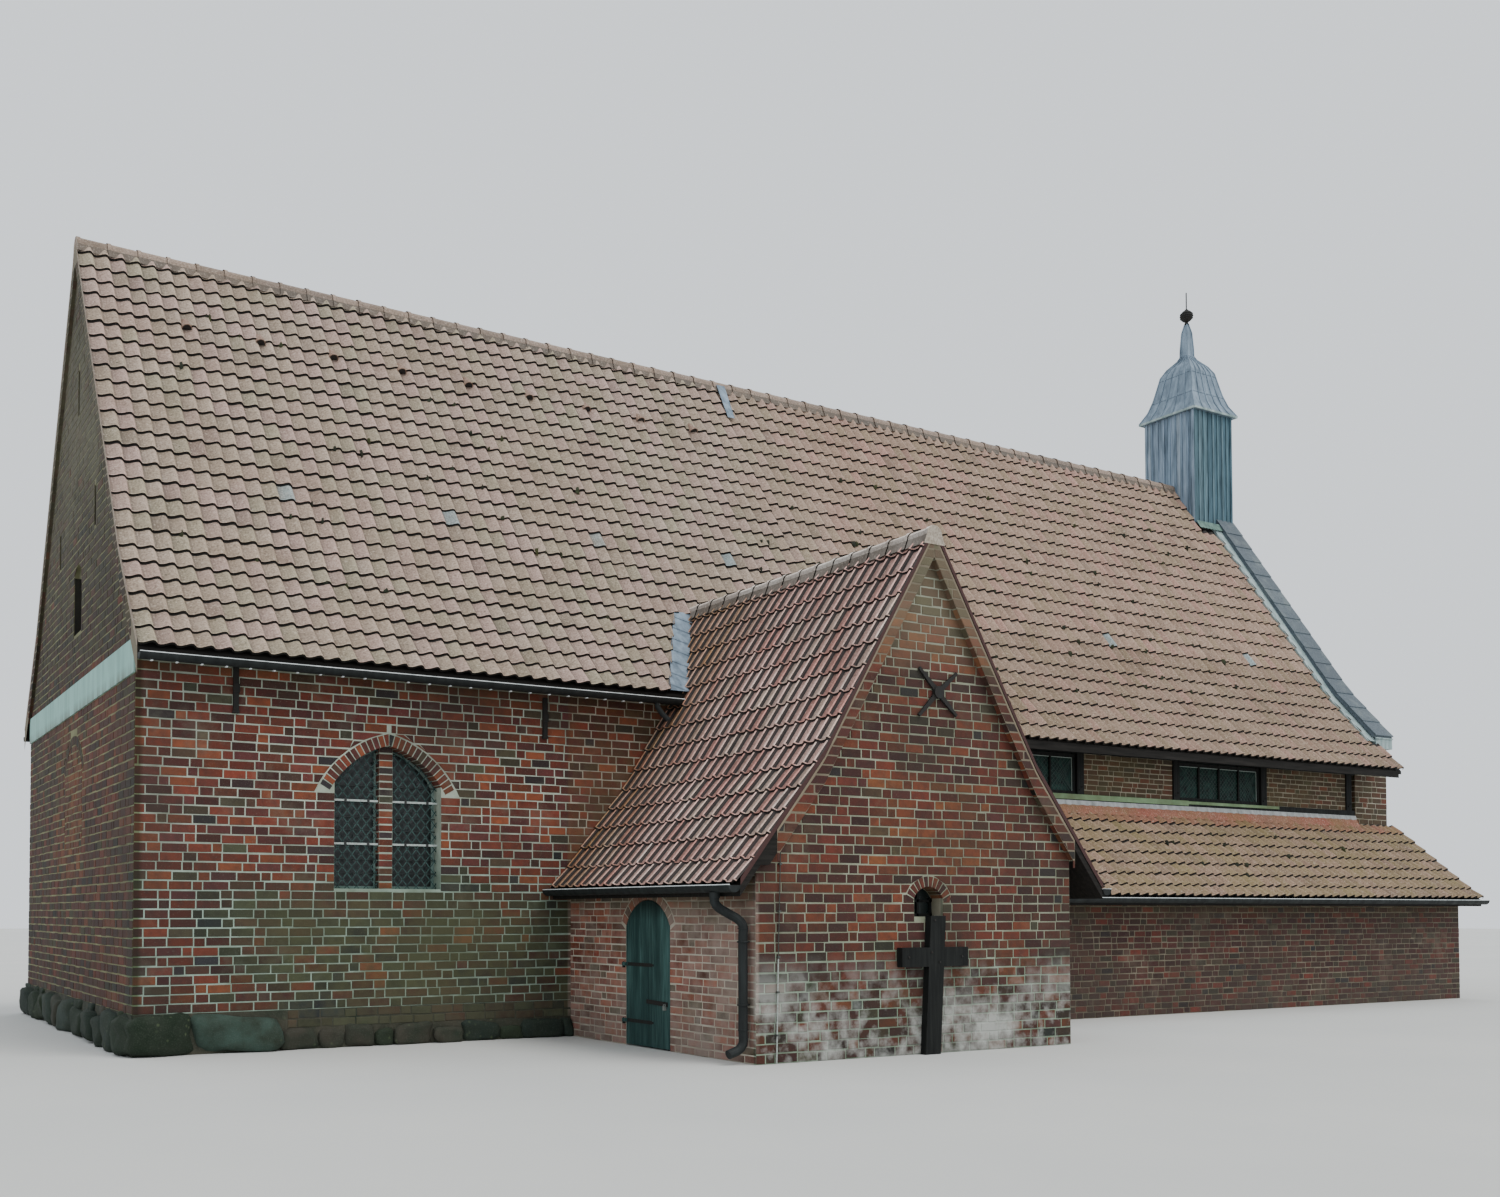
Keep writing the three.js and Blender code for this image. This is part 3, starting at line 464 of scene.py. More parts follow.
materials = {
    "brick": brick_material("brick"),
    "mortar": mortar_material("mortar", srgb(206, 202, 184), srgb(146, 142, 124)),
    # The darker mortar goes on the aisle walls as painted shade under the aisle eave
    "dark_mortar": mortar_material("dark_mortar", srgb(128, 120, 102), srgb(88, 84, 68)),
    "panel_mortar": mortar_material("panel_mortar", srgb(184, 176, 156), srgb(140, 132, 114)),
    "main_tile": tile_material("main_roof_tile", srgb(150, 128, 108)),
    "porch_tile": tile_material("porch_roof_tile", srgb(120, 84, 72), gloss=0.7),
    "ridge_tile": tile_material("porch_ridge_tile", srgb(210, 200, 190)),
    "aisle_tile": tile_material("aisle_roof_tile", srgb(146, 124, 96), moss_share=0.35),
    # Near black: painted shade under the eaves and verges
    "under_roof": wood_material("roof_underside", srgb(18, 17, 15), srgb(34, 30, 26), along=0),
    "timber": wood_material("dark_timber", srgb(12, 14, 14), srgb(26, 28, 26)),
    "sill_timber": wood_material("sill_timber", srgb(26, 30, 28), srgb(50, 54, 48), along=0),
    "boards": wood_material("turret_boards", srgb(94, 109, 119), srgb(174, 190, 206), scale=20.0),
    "paint": wood_material("door_paint", srgb(28, 49, 48), srgb(78, 114, 110), scale=30.0, roughness=0.6,
                           paint=srgb(31, 58, 57)),
    "zinc": metal_material("zinc_sheet", srgb(134, 152, 168), srgb(98, 114, 128), 0.5, 0.35),
    "pale_zinc": metal_material("pale_zinc_sheet", srgb(172, 188, 188), srgb(120, 142, 142), 0.55, 0.15),
    "lead": metal_material("lead_sheet", srgb(176, 178, 178), srgb(138, 142, 140), 0.6, 0.2),
    "verdigris": metal_material("verdigris_flashing", srgb(110, 140, 128), srgb(72, 96, 92), 0.7, 0.1, 6.0),
    "gutter": metal_material("dark_gutter_metal", srgb(18, 26, 26), srgb(12, 16, 16), 0.6, 0.1),
    "iron": metal_material("wrought_iron", srgb(26, 30, 29), srgb(42, 36, 32), 0.7, 0.2, 8.0),
    "tinted_iron": tinted_metal_material("painted_iron", 0.5),
    "came": metal_material("wire_lattice", srgb(54, 84, 80), srgb(30, 50, 48), 0.6, 0.1, 8.0),
    "tinted_mortar": tinted_mortar_material("tinted_mortar"),
    "putty": mortar_material("window_putty", srgb(150, 160, 152), srgb(104, 116, 110)),
    "rim": metal_material("gutter_rim", srgb(238, 242, 242), srgb(190, 200, 200), 0.4, 0.0),
    "bright_iron": metal_material("bright_iron", srgb(150, 156, 152), srgb(104, 108, 104), 0.45, 0.6, 8.0),
    "stone": stone_material("field_stone"),
    "slate": slate_material("coping_slate"),
    "plaster": plaster_material("plaster_band"),
    "glass": glass_material("dark_window_glass", (24, 34, 34), 0.22),
    "green_glass": glass_material("clerestory_glass", (22, 58, 50), 0.55, 0.2),
    "moss_strip": mortar_material("mossy_sill", srgb(146, 178, 138), srgb(116, 152, 114)),
    "paving": floor_brick_material("brick_paving"),
    "stage": stage_material("stage_floor"),
}

WHITE = (1.0, 1.0, 1.0, 1.0)


# Loose polygons gathered into one piece


class Soup:
    """Polygons, each with a tint, gathered into one mesh that becomes one named piece."""

    def __init__(self):
        self.points, self.faces, self.tints, self.smooth = [], [], [], []

    def sheet(self, points, faces, tint, smooth=False):
        start = len(self.points)
        self.points.extend(points)
        for face in faces:
            self.faces.append(tuple(start + index for index in face))
            self.smooth.append(smooth)
        self.tints.extend(tint if isinstance(tint, list) else [tint] * len(faces))

    def face(self, *corners, tint=WHITE):
        self.sheet(corners, [tuple(range(len(corners)))], tint)

    def box(self, x, y, z, tint=WHITE):
        corners = [(x[i], y[j], z[k]) for k in (0, 1) for j in (0, 1) for i in (0, 1)]
        faces = [(0, 2, 3, 1), (4, 5, 7, 6), (0, 1, 5, 4), (2, 6, 7, 3), (0, 4, 6, 2), (1, 3, 7, 5)]
        self.sheet(corners, faces, tint)

    def tube(self, path, radius, sides=8, tint=WHITE, closed=True):
        """A round bar along a list of points."""
        rings = []
        for index, point in enumerate(path):
            before = np.array(path[max(index - 1, 0)], float)
            after = np.array(path[min(index + 1, len(path) - 1)], float)
            along = after - before
            along = along / np.linalg.norm(along)
            side = np.cross(along, (0.0, 0.0, 1.0))
            if np.linalg.norm(side) < 1e-3:
                side = np.array((1.0, 0.0, 0.0))
            side = side / np.linalg.norm(side)
            up = np.cross(side, along)
            for k in range(sides):
                turn = 2 * math.pi * k / sides
                out = math.cos(turn) * side + math.sin(turn) * up
                rings.append(tuple(np.array(point, float) + radius * out))
        faces = []
        for ring in range(len(path) - 1):
            for k in range(sides):
                a, b = ring * sides + k, ring * sides + (k + 1) % sides
                faces.append((a, b, b + sides, a + sides))
        self.sheet(rings, faces, tint, smooth=True)
        if closed:
            last = (len(path) - 1) * sides
            self.sheet(rings[:sides], [tuple(range(sides - 1, -1, -1))], tint)
            self.sheet(rings[last:], [tuple(range(sides))], tint)

    def piece(self, name, material, slot, body="building", replaces=()):
        mesh = bpy.data.meshes.new(name)
        mesh.from_pydata(self.points, [], self.faces)
        counts = [len(face) for face in self.faces]
        tint = mesh.color_attributes.new("tint", "FLOAT_COLOR", "CORNER")
        tint.data.foreach_set("color", np.repeat(np.array(self.tints, float), counts, axis=0).ravel())
        mesh.polygons.foreach_set("use_smooth", self.smooth)
        mesh.materials.append(materials[material])
        made = bpy.data.objects.new(name, mesh)
        scene.collection.objects.link(made)
        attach(made, body)
        if replaces:
            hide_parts(*replaces)
        return made


def ring_path(centre, radius, steps):
    """A level circle of points round (x, y, z), its last point on its first."""
    x, y, z = centre
    turns = np.linspace(0, 2 * math.pi, steps)
    return [(x + radius * math.cos(turn), y + radius * math.sin(turn), z) for turn in turns]


class Wall:
    """A flat upright wall face. u runs along it to the right seen from outside, h stands out of it."""

    def __init__(self, side, at):
        self.side, self.at = side, at

    def point(self, u, z, h=0.0):
        if self.side == "south":
            return (u, self.at - h, z)
        if self.side == "north":
            return (-u, self.at + h, z)
        if self.side == "west":
            return (self.at - h, -u, z)
        return (self.at + h, u, z)


class Reveal:
    """The side face of an opening in a wall: v runs into the wall, h stands out of the side face."""

    def __init__(self, wall, u, facing):
        self.wall, self.u, self.facing = wall, u, facing

    def point(self, v, z, h=0.0):
        return self.wall.point(self.u + self.facing * h, z, -v if self.facing > 0 else v)


# Brickwork

RED = srgb(134, 54, 36)
WARM_RED = srgb(150, 72, 42)
DARK_RED = srgb(92, 40, 34)
WINE = srgb(104, 46, 44)
BROWN = srgb(90, 56, 42)
ORANGE = srgb(160, 88, 48)
OLIVE = srgb(80, 74, 52)
SLATE_BLUE = srgb(44, 44, 48)
PINK = srgb(146, 98, 84)

JOINT = 0.013
BOND = (0.265, 0.265, 0.125)
SMALLEST_BRICK = 0.012
# How much of a second colour a brick may take, and how dark or light it may be.
BRICK_MIX, BRICK_SHADES = 0.35, (0.42, 1.10)


def weighted(choices, rng):
    pick = rng.random() * sum(weight for weight, _ in choices)
    for weight, colour in choices:
        pick -= weight
        if pick <= 0:
            return colour
    return choices[-1][1]


def brick_tint(rng, choices):
    first, second = weighted(choices, rng), weighted(choices, rng)
    return shade(blend(first, second, rng.random() * BRICK_MIX), rng.uniform(*BRICK_SHADES))


def add_brick(soup, wall, bottom, top, z, rng, tint, proud=0.004, chamfer=0.006):
    """One brick: bottom and top are its (left, right) at its lower and upper bed, z its two heights."""
    (a0, b0), (a1, b1), (z0, z1) = bottom, top, z
    if b0 - a0 < SMALLEST_BRICK and b1 - a1 < SMALLEST_BRICK:
        return
    h = proud + rng.uniform(-0.001, 0.0025)
    c = chamfer
    tilt = rng.uniform(-0.0015, 0.0015)
    m0, m1 = (a0 + b0) / 2, (a1 + b1) / 2
    inner = [
        (min(a0 + c, m0), z0 + c), (max(b0 - c, m0), z0 + c),
        (max(b1 - c, m1), z1 - c), (min(a1 + c, m1), z1 - c),
    ]
    outer = [(a0, z0), (b0, z0), (b1, z1), (a1, z1)]
    points = [wall.point(u, v, -0.001) for u, v in outer]
    points += [wall.point(u, v, h + tilt * (1 if k in (0, 3) else -1)) for k, (u, v) in enumerate(inner)]
    faces = [(4, 5, 6, 7), (0, 1, 5, 4), (1, 2, 6, 5), (2, 3, 7, 6), (3, 0, 4, 7)]
    soup.sheet(points, faces, tint)


def free_spans(z, outline, holes):
    left, right = outline(z)
    spans = [(left, right)] if right > left else []
    for hole in holes:
        taken = hole(z)
        if taken is None:
            continue
        kept = []
        for a, b in spans:
            if taken[1] <= a or taken[0] >= b:
                kept.append((a, b))
                continue
            if taken[0] > a:
                kept.append((a, taken[0]))
            if taken[1] < b:
                kept.append((taken[1], b))
        spans = kept
    return spans


def course_cuts(width, row, rng, bond):
    """The joints of one course as distances from its left end."""
    cuts = [0.0]
    step = (row * 2 + rng.randrange(2)) % len(bond)
    first = bond[step] * rng.choice((0.5, 1.0, 1.0))
    at = first + rng.uniform(-0.02, 0.02)
    while at < width - 0.09:
        cuts.append(at)
        step = (step + 1) % len(bond)
        at += bond[step] + JOINT + rng.uniform(-0.022, 0.022)
    cuts.append(width + JOINT)
    return cuts


def lay_bricks(soup, wall, level, outline, holes, choose, rng, course=COURSE, bond=BOND, proud=0.004):
    """Lays whole courses between two heights; bricks are cut along the outline and the holes."""
    rows = max(1, round((level[1] - level[0]) / course))
    pitch = (level[1] - level[0]) / rows
    joint = min(JOINT, pitch * 0.17)
    for row in range(rows):
        z0 = level[0] + row * pitch + joint / 2
        z1 = z0 + pitch - joint
        low, high = free_spans(z0, outline, holes), free_spans(z1, outline, holes)
        if len(low) != len(high):
            fewest = free_spans((z0 + z1) / 2, outline, holes)
            low = high = low if len(low) > len(high) else high
            if len(low) < len(fewest):
                low = high = fewest
        for (a0, b0), (a1, b1) in zip(low, high):
            left, right = min(a0, a1), max(b0, b1)
            cuts = course_cuts(right - left, row, rng, bond)
            for index in range(len(cuts) - 1):
                start, end = left + cuts[index], left + cuts[index + 1] - JOINT
                bottom = (min(max(start, a0), b0), max(min(end, b0), a0))
                top = (min(max(start, a1), b1), max(min(end, b1), a1))
                lift = rng.uniform(-0.005, 0.005)
                middle = ((start + end) / 2, (z0 + z1) / 2)
                add_brick(soup, wall, bottom, top, (z0 + lift, z1 + lift), rng,
                          brick_tint(rng, choose(*middle, rng)), proud)


def arch_circle(half, rise, springing):
    """Radius of a segmental arch, the height of its centre, and half the angle that it spans."""
    radius = (half * half + rise * rise) / (2 * rise)
    return radius, springing + rise - radius, math.asin(half / radius)


def segment_hole(centre, half, bottom, springing, rise, ring=0.0, ring_from=None):
    """Where a segmental-arched opening stops the bricks, its ring of arch bricks included."""
    radius, middle, _ = arch_circle(half, rise, springing)
    outer = radius + ring

    def hole(z):
        if z < bottom or z >= middle + outer:
            return None
        if z < springing:
            return (centre - half, centre + half)
        reach = math.sqrt(max(outer * outer - (z - middle) ** 2, 0.0))
        widest = half + ring * half / radius
        reach = min(reach, widest)
        return (centre - reach, centre + reach)

    return hole


def pointed_arc():
    """Radius of the two flat arcs of a pointed window, and how far the right one's centre lies off."""
    half, rise, radius = WINDOW["half"], WINDOW["crown"] - WINDOW["springing"], WINDOW["radius"]
    chord = math.hypot(half, rise)
    back = math.sqrt(radius * radius - chord * chord / 4) / chord
    return radius, half / 2 - rise * back, (WINDOW["springing"] + WINDOW["crown"]) / 2 - half * back


def pointed_hole(centre, ring=0.0):
    radius, side, middle = pointed_arc()
    outer = radius + ring
    foot = WINDOW["springing"] - (0.12 if ring else 0.0)

    def hole(z):
        if z < WINDOW["sill"]:
            return None
        if z < foot:
            return (centre - WINDOW["half"], centre + WINDOW["half"])
        rest = outer * outer - (z - middle) ** 2
        reach = side + math.sqrt(rest) if rest > 0 else 0.0
        return (centre - reach, centre + reach) if reach > 0 else None

    return hole


def add_voussoirs(soup, wall, centre, start, end, radius, thick, count, deep, rng, choices, keep=None):
    """Arch bricks side by side round (u, z) between two angles, their soffit running into the wall."""
    proud = 0.005
    step = (end - start) / count
    half_joint = JOINT * 0.45 / (radius + thick / 2)
    for k in range(count):
        a0, a1 = start + k * step + half_joint, start + (k + 1) * step - half_joint
        r0, r1 = radius - 0.003, radius + thick - rng.uniform(0.0, 0.008)

        def at(r, a, h):
            u = centre[0] + r * math.sin(a)
            return wall.point(keep(u) if keep else u, centre[1] + r * math.cos(a), h)

        c = 0.004
        ca = c / radius
        h = proud + rng.uniform(-0.001, 0.002)
        points = [at(r0, a0, -0.001), at(r0, a1, -0.001), at(r1, a1, -0.001), at(r1, a0, -0.001),
                  at(r0 + c, a0 + ca, h), at(r0 + c, a1 - ca, h),
                  at(r1 - c, a1 - ca, h), at(r1 - c, a0 + ca, h),
                  at(r0, a0, -deep), at(r0, a1, -deep)]
        faces = [(4, 5, 6, 7), (0, 1, 5, 4), (1, 2, 6, 5), (2, 3, 7, 6), (3, 0, 4, 7), (0, 8, 9, 1)]
        soup.sheet(points, faces, brick_tint(rng, choices))


REDS = ((5, RED), (3, WARM_RED), (3, DARK_RED), (2, WINE), (1, BROWN), (0.5, SLATE_BLUE), (0.7, OLIVE))
DULL = ((2, DARK_RED), (3, BROWN), (3, OLIVE), (1, RED), (0.4, SLATE_BLUE))
WEATHERED = ((3, OLIVE), (2, BROWN), (1, DARK_RED), (0.6, SLATE_BLUE))
ORANGES = ((4, ORANGE), (3, WARM_RED), (2, RED), (1, OLIVE))
HAZY = ((3, WARM_RED), (3, PINK), (2, RED), (1, BROWN), (0.6, OLIVE))
BROWNS = [(weight, shade(colour, 0.66)) for weight, colour in
          ((3, DARK_RED), (3, BROWN), (1.5, RED), (1, OLIVE), (0.4, SLATE_BLUE))]
# Darker still for the aisle walls: painted shade under the aisle eave
SHADED_AISLE_BROWNS = [(weight, shade(colour, 0.84)) for weight, colour in BROWNS]


def nave_front_choice(u, z, rng):
    mossy = z < 2.0 + 0.25 * math.sin(u * 2.1) and u > -10.6 + 0.5 * math.sin(z * 3)
    if mossy and rng.random() < 0.8:
        return WEATHERED
    if z > 4.35 and rng.random() < 0.6:
        return ((3, OLIVE), (2, ORANGE), (2, RED))
    return REDS


def west_choice(u, z, rng):
    if z > 4.7:
        return WEATHERED if rng.random() < 0.35 + 0.12 * (z - 4.7) else DULL
    if abs(u + 0.2) < 1.2 and 2.0 < z < 4.2 and rng.random() < 0.6:
        return ORANGES
    if u < 0 and rng.random() < 0.5:
        return DULL
    return REDS


def porch_gable_choice(u, z, rng):
    if z > 5.0:
        return DULL
    if 4.35 < z < 5.0 and rng.random() < 0.75:
        return ORANGES
    if 2.0 < z < 3.05 and abs(u + 3.8) < 0.95 and rng.random() < 0.8:
        return ORANGES
    return REDS


def porch_west_choice(u, z, rng):
    if z > 1.75 and rng.random() < 0.5:
        return DULL
    return HAZY


def plain_choice(choices):
    return lambda u, z, rng: choices


def box_hole(centre, half, bottom, top):
    return lambda z: (centre - half, centre + half) if bottom <= z <= top else None


def symmetric(reach):
    return lambda z: (-reach(z), reach(z))


def lay_window_dressing(soup, wall, centre, rng, choices):
    """The two half rings of arch bricks that meet over the middle of a two-light window."""
    radius, side, middle = pointed_arc()
    foot = math.pi / 2 - math.asin((WINDOW["springing"] - 0.10 - middle) / radius)
    crown = math.asin(-side / (radius + 0.14))
    for sign in (1, -1):
        start, end = (crown, foot) if sign > 0 else (-foot, -crown)
        add_voussoirs(soup, wall, (centre + sign * side, middle), start, end, radius, 0.140, 14, 0.20,
                      rng, choices, keep=lambda u, sign=sign: sign * max(sign * (u - centre), 0.004) + centre)


def lay_mullion(soup, side, face_at, centre, rng, choices):
    """The brick bar between the two lights: its front and both its sides."""
    inner = Wall(side, face_at)
    level = (WINDOW["sill"], WINDOW["crown"])
    face_span = (centre - MULLION_HALF, centre + MULLION_HALF)
    lay_bricks(soup, inner, level, lambda z: face_span, [], plain_choice(choices), rng,
               course=0.086, bond=(0.3,), proud=0.003)
    deep = MULLION_DEPTH[1] - MULLION_DEPTH[0] - 0.01
    for sign in (-1, 1):
        face = Reveal(inner, centre + sign * MULLION_HALF, sign)
        span = (0.0, deep) if sign > 0 else (-deep, 0.0)
        lay_bricks(soup, face, level, lambda z, span=span: span, [], plain_choice(choices), rng,
                   course=0.086, bond=(0.3,), proud=0.003)


WINDOW_RING, DOOR_RING, GABLE_WINDOW_RING = 0.155, 0.12, 0.13
SHORT_BOND = (0.24, 0.12)


def lay_nave_front(rng):
    soup = Soup()
    wall = Wall("south", SOUTH)

    def nave_right(z):
        return PORCH_WEST if z < 1.9 else PORCH_RIDGE_X - porch_reach(z) + 0.02

    lay_bricks(soup, wall, (FOOTING_TOP, EAVE_BRICKS_TOP), lambda z: (WEST, nave_right(z)),
               [pointed_hole(FRONT_WINDOW_X, WINDOW_RING)], nave_front_choice, rng)
    lay_window_dressing(soup, wall, FRONT_WINDOW_X, rng, REDS)
    lay_mullion(soup, "south", SOUTH + MULLION_DEPTH[0], FRONT_WINDOW_X, rng, REDS)
    lay_bricks(soup, wall, (3.1, EAVE_BRICKS_TOP), lambda z: (PORCH_RIDGE_X + porch_reach(z), PORCH_EAST), [],
               plain_choice(REDS), rng)
    soup.piece("nave_front_bricks", "brick", "brick")


# The walled-up doorway in the west gable, u measured as on its wall.
SCAR = {"u": 0.025, "half": 0.65, "bottom": 2.35, "springing": 3.45, "rise": 0.38}


def lay_walled_up_doorway(soup, wall, rng):
    """The arch over the old doorway and the bricks that fill it."""
    crown = SCAR["springing"] + SCAR["rise"]
    radius, middle, reach = arch_circle(SCAR["half"], SCAR["rise"], SCAR["springing"])
    add_voussoirs(soup, wall, (SCAR["u"], middle), -reach, reach, radius, 0.12, 14, 0.01, rng, DULL)
    infill = segment_hole(SCAR["u"], SCAR["half"] - 0.01, SCAR["bottom"], SCAR["springing"],
                          SCAR["rise"] - 0.01)
    lay_bricks(soup, wall, (SCAR["bottom"], crown - 0.02),
               lambda z: infill(min(max(z, SCAR["bottom"] + 0.001), crown - 0.03)), [],
               plain_choice(ORANGES), rng, course=0.09, bond=SHORT_BOND)


def lay_west_gable(rng):
    soup = Soup()
    wall = Wall("west", WEST)
    holes = [box_hole(-y, SLIT_HALF, low, high) for y, low, high in SLITS]
    holes.append(segment_hole(-ATTIC["y"], ATTIC["half"], ATTIC["bottom"], ATTIC["top"] - ATTIC["rise"],
                              ATTIC["rise"]))
    scar_hole = segment_hole(SCAR["u"], SCAR["half"], SCAR["bottom"], SCAR["springing"], SCAR["rise"], 0.14)
    lay_bricks(soup, wall, (FOOTING_TOP, BAND[0]), lambda z: (SOUTH, NORTH), [*holes, scar_hole],
               west_choice, rng)
    lay_walled_up_doorway(soup, wall, rng)
    lay_bricks(soup, wall, (BAND[1], WEST_BRICKS_TOP), symmetric(lambda z: min(NORTH, main_reach(z + 0.30))),
               holes, west_choice, rng)
    soup.piece("west_gable_bricks", "brick", "brick")


def lay_north_wall(rng):
    soup = Soup()
    wall = Wall("north", NORTH)
    lay_bricks(soup, wall, (FOOTING_TOP, EAVE_BRICKS_TOP), lambda z: (-EAST, -WEST),
               [pointed_hole(-x, WINDOW_RING) for x in NORTH_WINDOWS_X], plain_choice(REDS), rng)
    for x in NORTH_WINDOWS_X:
        lay_window_dressing(soup, wall, -x, rng, REDS)
        lay_mullion(soup, "north", NORTH - MULLION_DEPTH[0], -x, rng, REDS)
    soup.piece("north_wall_bricks", "brick", "brick")


def lay_east_gable(rng):
    """The gable up to its parapet, and the short return of its wall beside the clerestory."""
    soup = Soup()
    wall = Wall("east", EAST)
    parapet_rise = 0.12
    turret_foot = main_top(TURRET_HALF) - 0.02
    lay_bricks(soup, wall, (0.0, turret_foot), symmetric(lambda z: min(NORTH, main_reach(z - parapet_rise))),
               [pointed_hole(0.0, WINDOW_RING)], plain_choice(REDS), rng)
    lay_bricks(soup, wall, (turret_foot, RIDGE - 0.1), symmetric(lambda z: main_reach(z + 0.01)), [],
               plain_choice(REDS), rng)
    lay_window_dressing(soup, wall, 0.0, rng, REDS)
    lay_mullion(soup, "east", EAST - MULLION_DEPTH[0], 0.0, rng, REDS)
    pier_level = (3.25, EAVE_BRICKS_TOP)
    for face, span in ((Wall("south", SOUTH), (10.70, EAST)), (Wall("west", 10.725), (3.695, 3.875))):
        lay_bricks(soup, face, pier_level, lambda z, span=span: span, [], plain_choice(BROWNS), rng)
    soup.piece("east_gable_bricks", "brick", "brick")


def lay_aisle_walls(rng):
    soup = Soup()
    lay_bricks(soup, Wall("south", AISLE_FACE), (0.0, 1.95), lambda z: (PORCH_EAST, EAST), [],
               plain_choice(SHADED_AISLE_BROWNS), rng, course=AISLE_COURSE, bond=SHORT_BOND)
    lay_bricks(soup, Wall("east", EAST), (0.0, 3.10),
               lambda z: (max(AISLE_FACE, (z + 0.17 - AISLE_TOP) / AISLE_TILT + SOUTH), SOUTH), [],
               plain_choice(SHADED_AISLE_BROWNS), rng, course=AISLE_COURSE, bond=SHORT_BOND)
    soup.piece("aisle_wall_bricks", "brick", "brick")


def lay_porch_sides(rng):
    soup = Soup()
    wall = Wall("west", PORCH_WEST)
    lay_bricks(soup, wall, (0.0, 2.06), lambda z: (-SOUTH, -PORCH_FRONT),
               [segment_hole(-DOOR["y"], DOOR["half"], 0.0, DOOR["springing"], DOOR["rise"], DOOR_RING)],
               porch_west_choice, rng, course=PORCH_SIDE_COURSE, bond=(0.25, 0.12, 0.25))
    radius, middle, reach = arch_circle(DOOR["half"], DOOR["rise"], DOOR["springing"])
    add_voussoirs(soup, wall, (-DOOR["y"], middle), -reach, reach, radius, 0.105, 12, 0.10, rng, HAZY)
    lay_bricks(soup, Wall("east", PORCH_EAST), (0.0, 2.33), lambda z: (PORCH_FRONT, AISLE_FACE), [],
               plain_choice(REDS), rng)
    soup.piece("porch_side_bricks", "brick", "brick")


def lay_porch_gable(rng):
    soup = Soup()
    wall = Wall("south", PORCH_FRONT)
    window = segment_hole(GABLE_WINDOW["x"], GABLE_WINDOW["half"], GABLE_WINDOW["sill"],
                          GABLE_WINDOW["springing"], GABLE_WINDOW["rise"], GABLE_WINDOW_RING)

    def outline(z):
        reach = porch_reach(z + 0.07)
        return (max(PORCH_WEST, PORCH_RIDGE_X - reach), min(PORCH_EAST, PORCH_RIDGE_X + reach))

    lay_bricks(soup, wall, (0.0, PORCH_BRICKS_TOP), outline, [window], porch_gable_choice, rng)
    radius, middle, reach = arch_circle(GABLE_WINDOW["half"], GABLE_WINDOW["rise"], GABLE_WINDOW["springing"])
    add_voussoirs(soup, wall, (GABLE_WINDOW["x"], middle), -reach - 0.25, reach + 0.25, radius,
                  0.12, 12, 0.18, rng, REDS)
    soup.piece("porch_gable_bricks", "brick", "brick")


def lay_clerestory_panels(rng):
    soup = Soup()
    wall = Wall("south", SOUTH + 0.03)
    for left, right in ((0, 1), (2, 3), (4, 5)):
        span = (CLERESTORY_POSTS[left] + POST_HALF, CLERESTORY_POSTS[right] - POST_HALF)
        lay_bricks(soup, wall, PANEL_LEVEL, lambda z, span=span: span, [], plain_choice(BROWNS), rng,
                   course=PANEL_COURSE, bond=(0.24, 0.24, 0.115))
    soup.piece("clerestory_bricks", "brick", "brick")


def lay_walls():
    for lay in (lay_nave_front, lay_west_gable, lay_north_wall, lay_east_gable, lay_aisle_walls,
                lay_porch_sides, lay_porch_gable, lay_clerestory_panels):
        lay(random_source)


# Pantile fields

# Across one tile: share of its width, height over its bed. Its steep side stands at the right edge.
TILE_PROFILE = (
    (0.0, 0.000), (0.12, -0.004), (0.27, 0.001), (0.42, 0.014), (0.57, 0.031),
    (0.71, 0.042), (0.83, 0.038), (0.93, 0.017), (1.0, 0.000),
)
PORCH_PROFILE = (
    (0.0, 0.006), (0.07, -0.004), (0.22, -0.006), (0.46, -0.002), (0.62, 0.010),
    (0.74, 0.028), (0.85, 0.036), (0.93, 0.028), (1.0, 0.006),
)
# How much darker or lighter each strip of a tile is than the tile: painted shade in the trough, with some
# dirt there, and a painted highlight on the steep side of the roll; a porch tile also has a near-black
# painted shadow line at each edge.
TILE_STRIPS = (0.48, 0.72, 0.90, 0.98, 1.04, 1.16, 1.46, 1.20)
PORCH_STRIPS = (0.03, 0.70, 1.05, 1.15, 1.20, 1.50, 2.10, 0.05)
TILE_THICK = 0.034
PORCH_THICK = 0.026
TILE_BED = 0.010
TILE_LIFT = 0.044
PORCH_LIFT = 0.036
TILE_LAP = 0.055
# How far below the next row the band of painted shadow, with some dirt, begins
SHADOW_AND_DIRT_LINE = 0.020
TILE_LIP = 0.014
EAVE_LIFT = 0.020
# How bright a tile's lip (a painted highlight), the band under the next row (painted shadow, with some dirt)
# and its front edge (painted shadow) are beside the tile
LIP_HIGHLIGHT, LAP_SHADE, EDGE_SHADE = 1.28, 0.04, 0.03


class Slope:
    """A roof slope seen as a line of (distance out, height) from eave to ridge, run along X or Y."""

    def __init__(self, line, along, side, origin=0.0):
        self.line = [np.array(p, float) for p in line]
        self.along, self.side, self.origin = along, side, origin
        steps = [np.linalg.norm(b - a) for a, b in zip(self.line, self.line[1:])]
        self.places = [0.0, *np.cumsum(steps)]
        self.length = self.places[-1]

    def at(self, s):
        """Distance out and height at s up the slope, and the outward normal there."""
        index = 0
        while index < len(self.places) - 2 and s > self.places[index + 1]:
            index += 1
        a, b = self.line[index], self.line[index + 1]
        unit = (b - a) / np.linalg.norm(b - a)
        return a + unit * (s - self.places[index]), np.array((unit[1], -unit[0]))

    def point(self, a, s, h):
        place, normal = self.at(s)
        d, z = place + normal * h
        across = self.origin + self.side * d
        return (a, across, z) if self.along == "x" else (across, a, z)


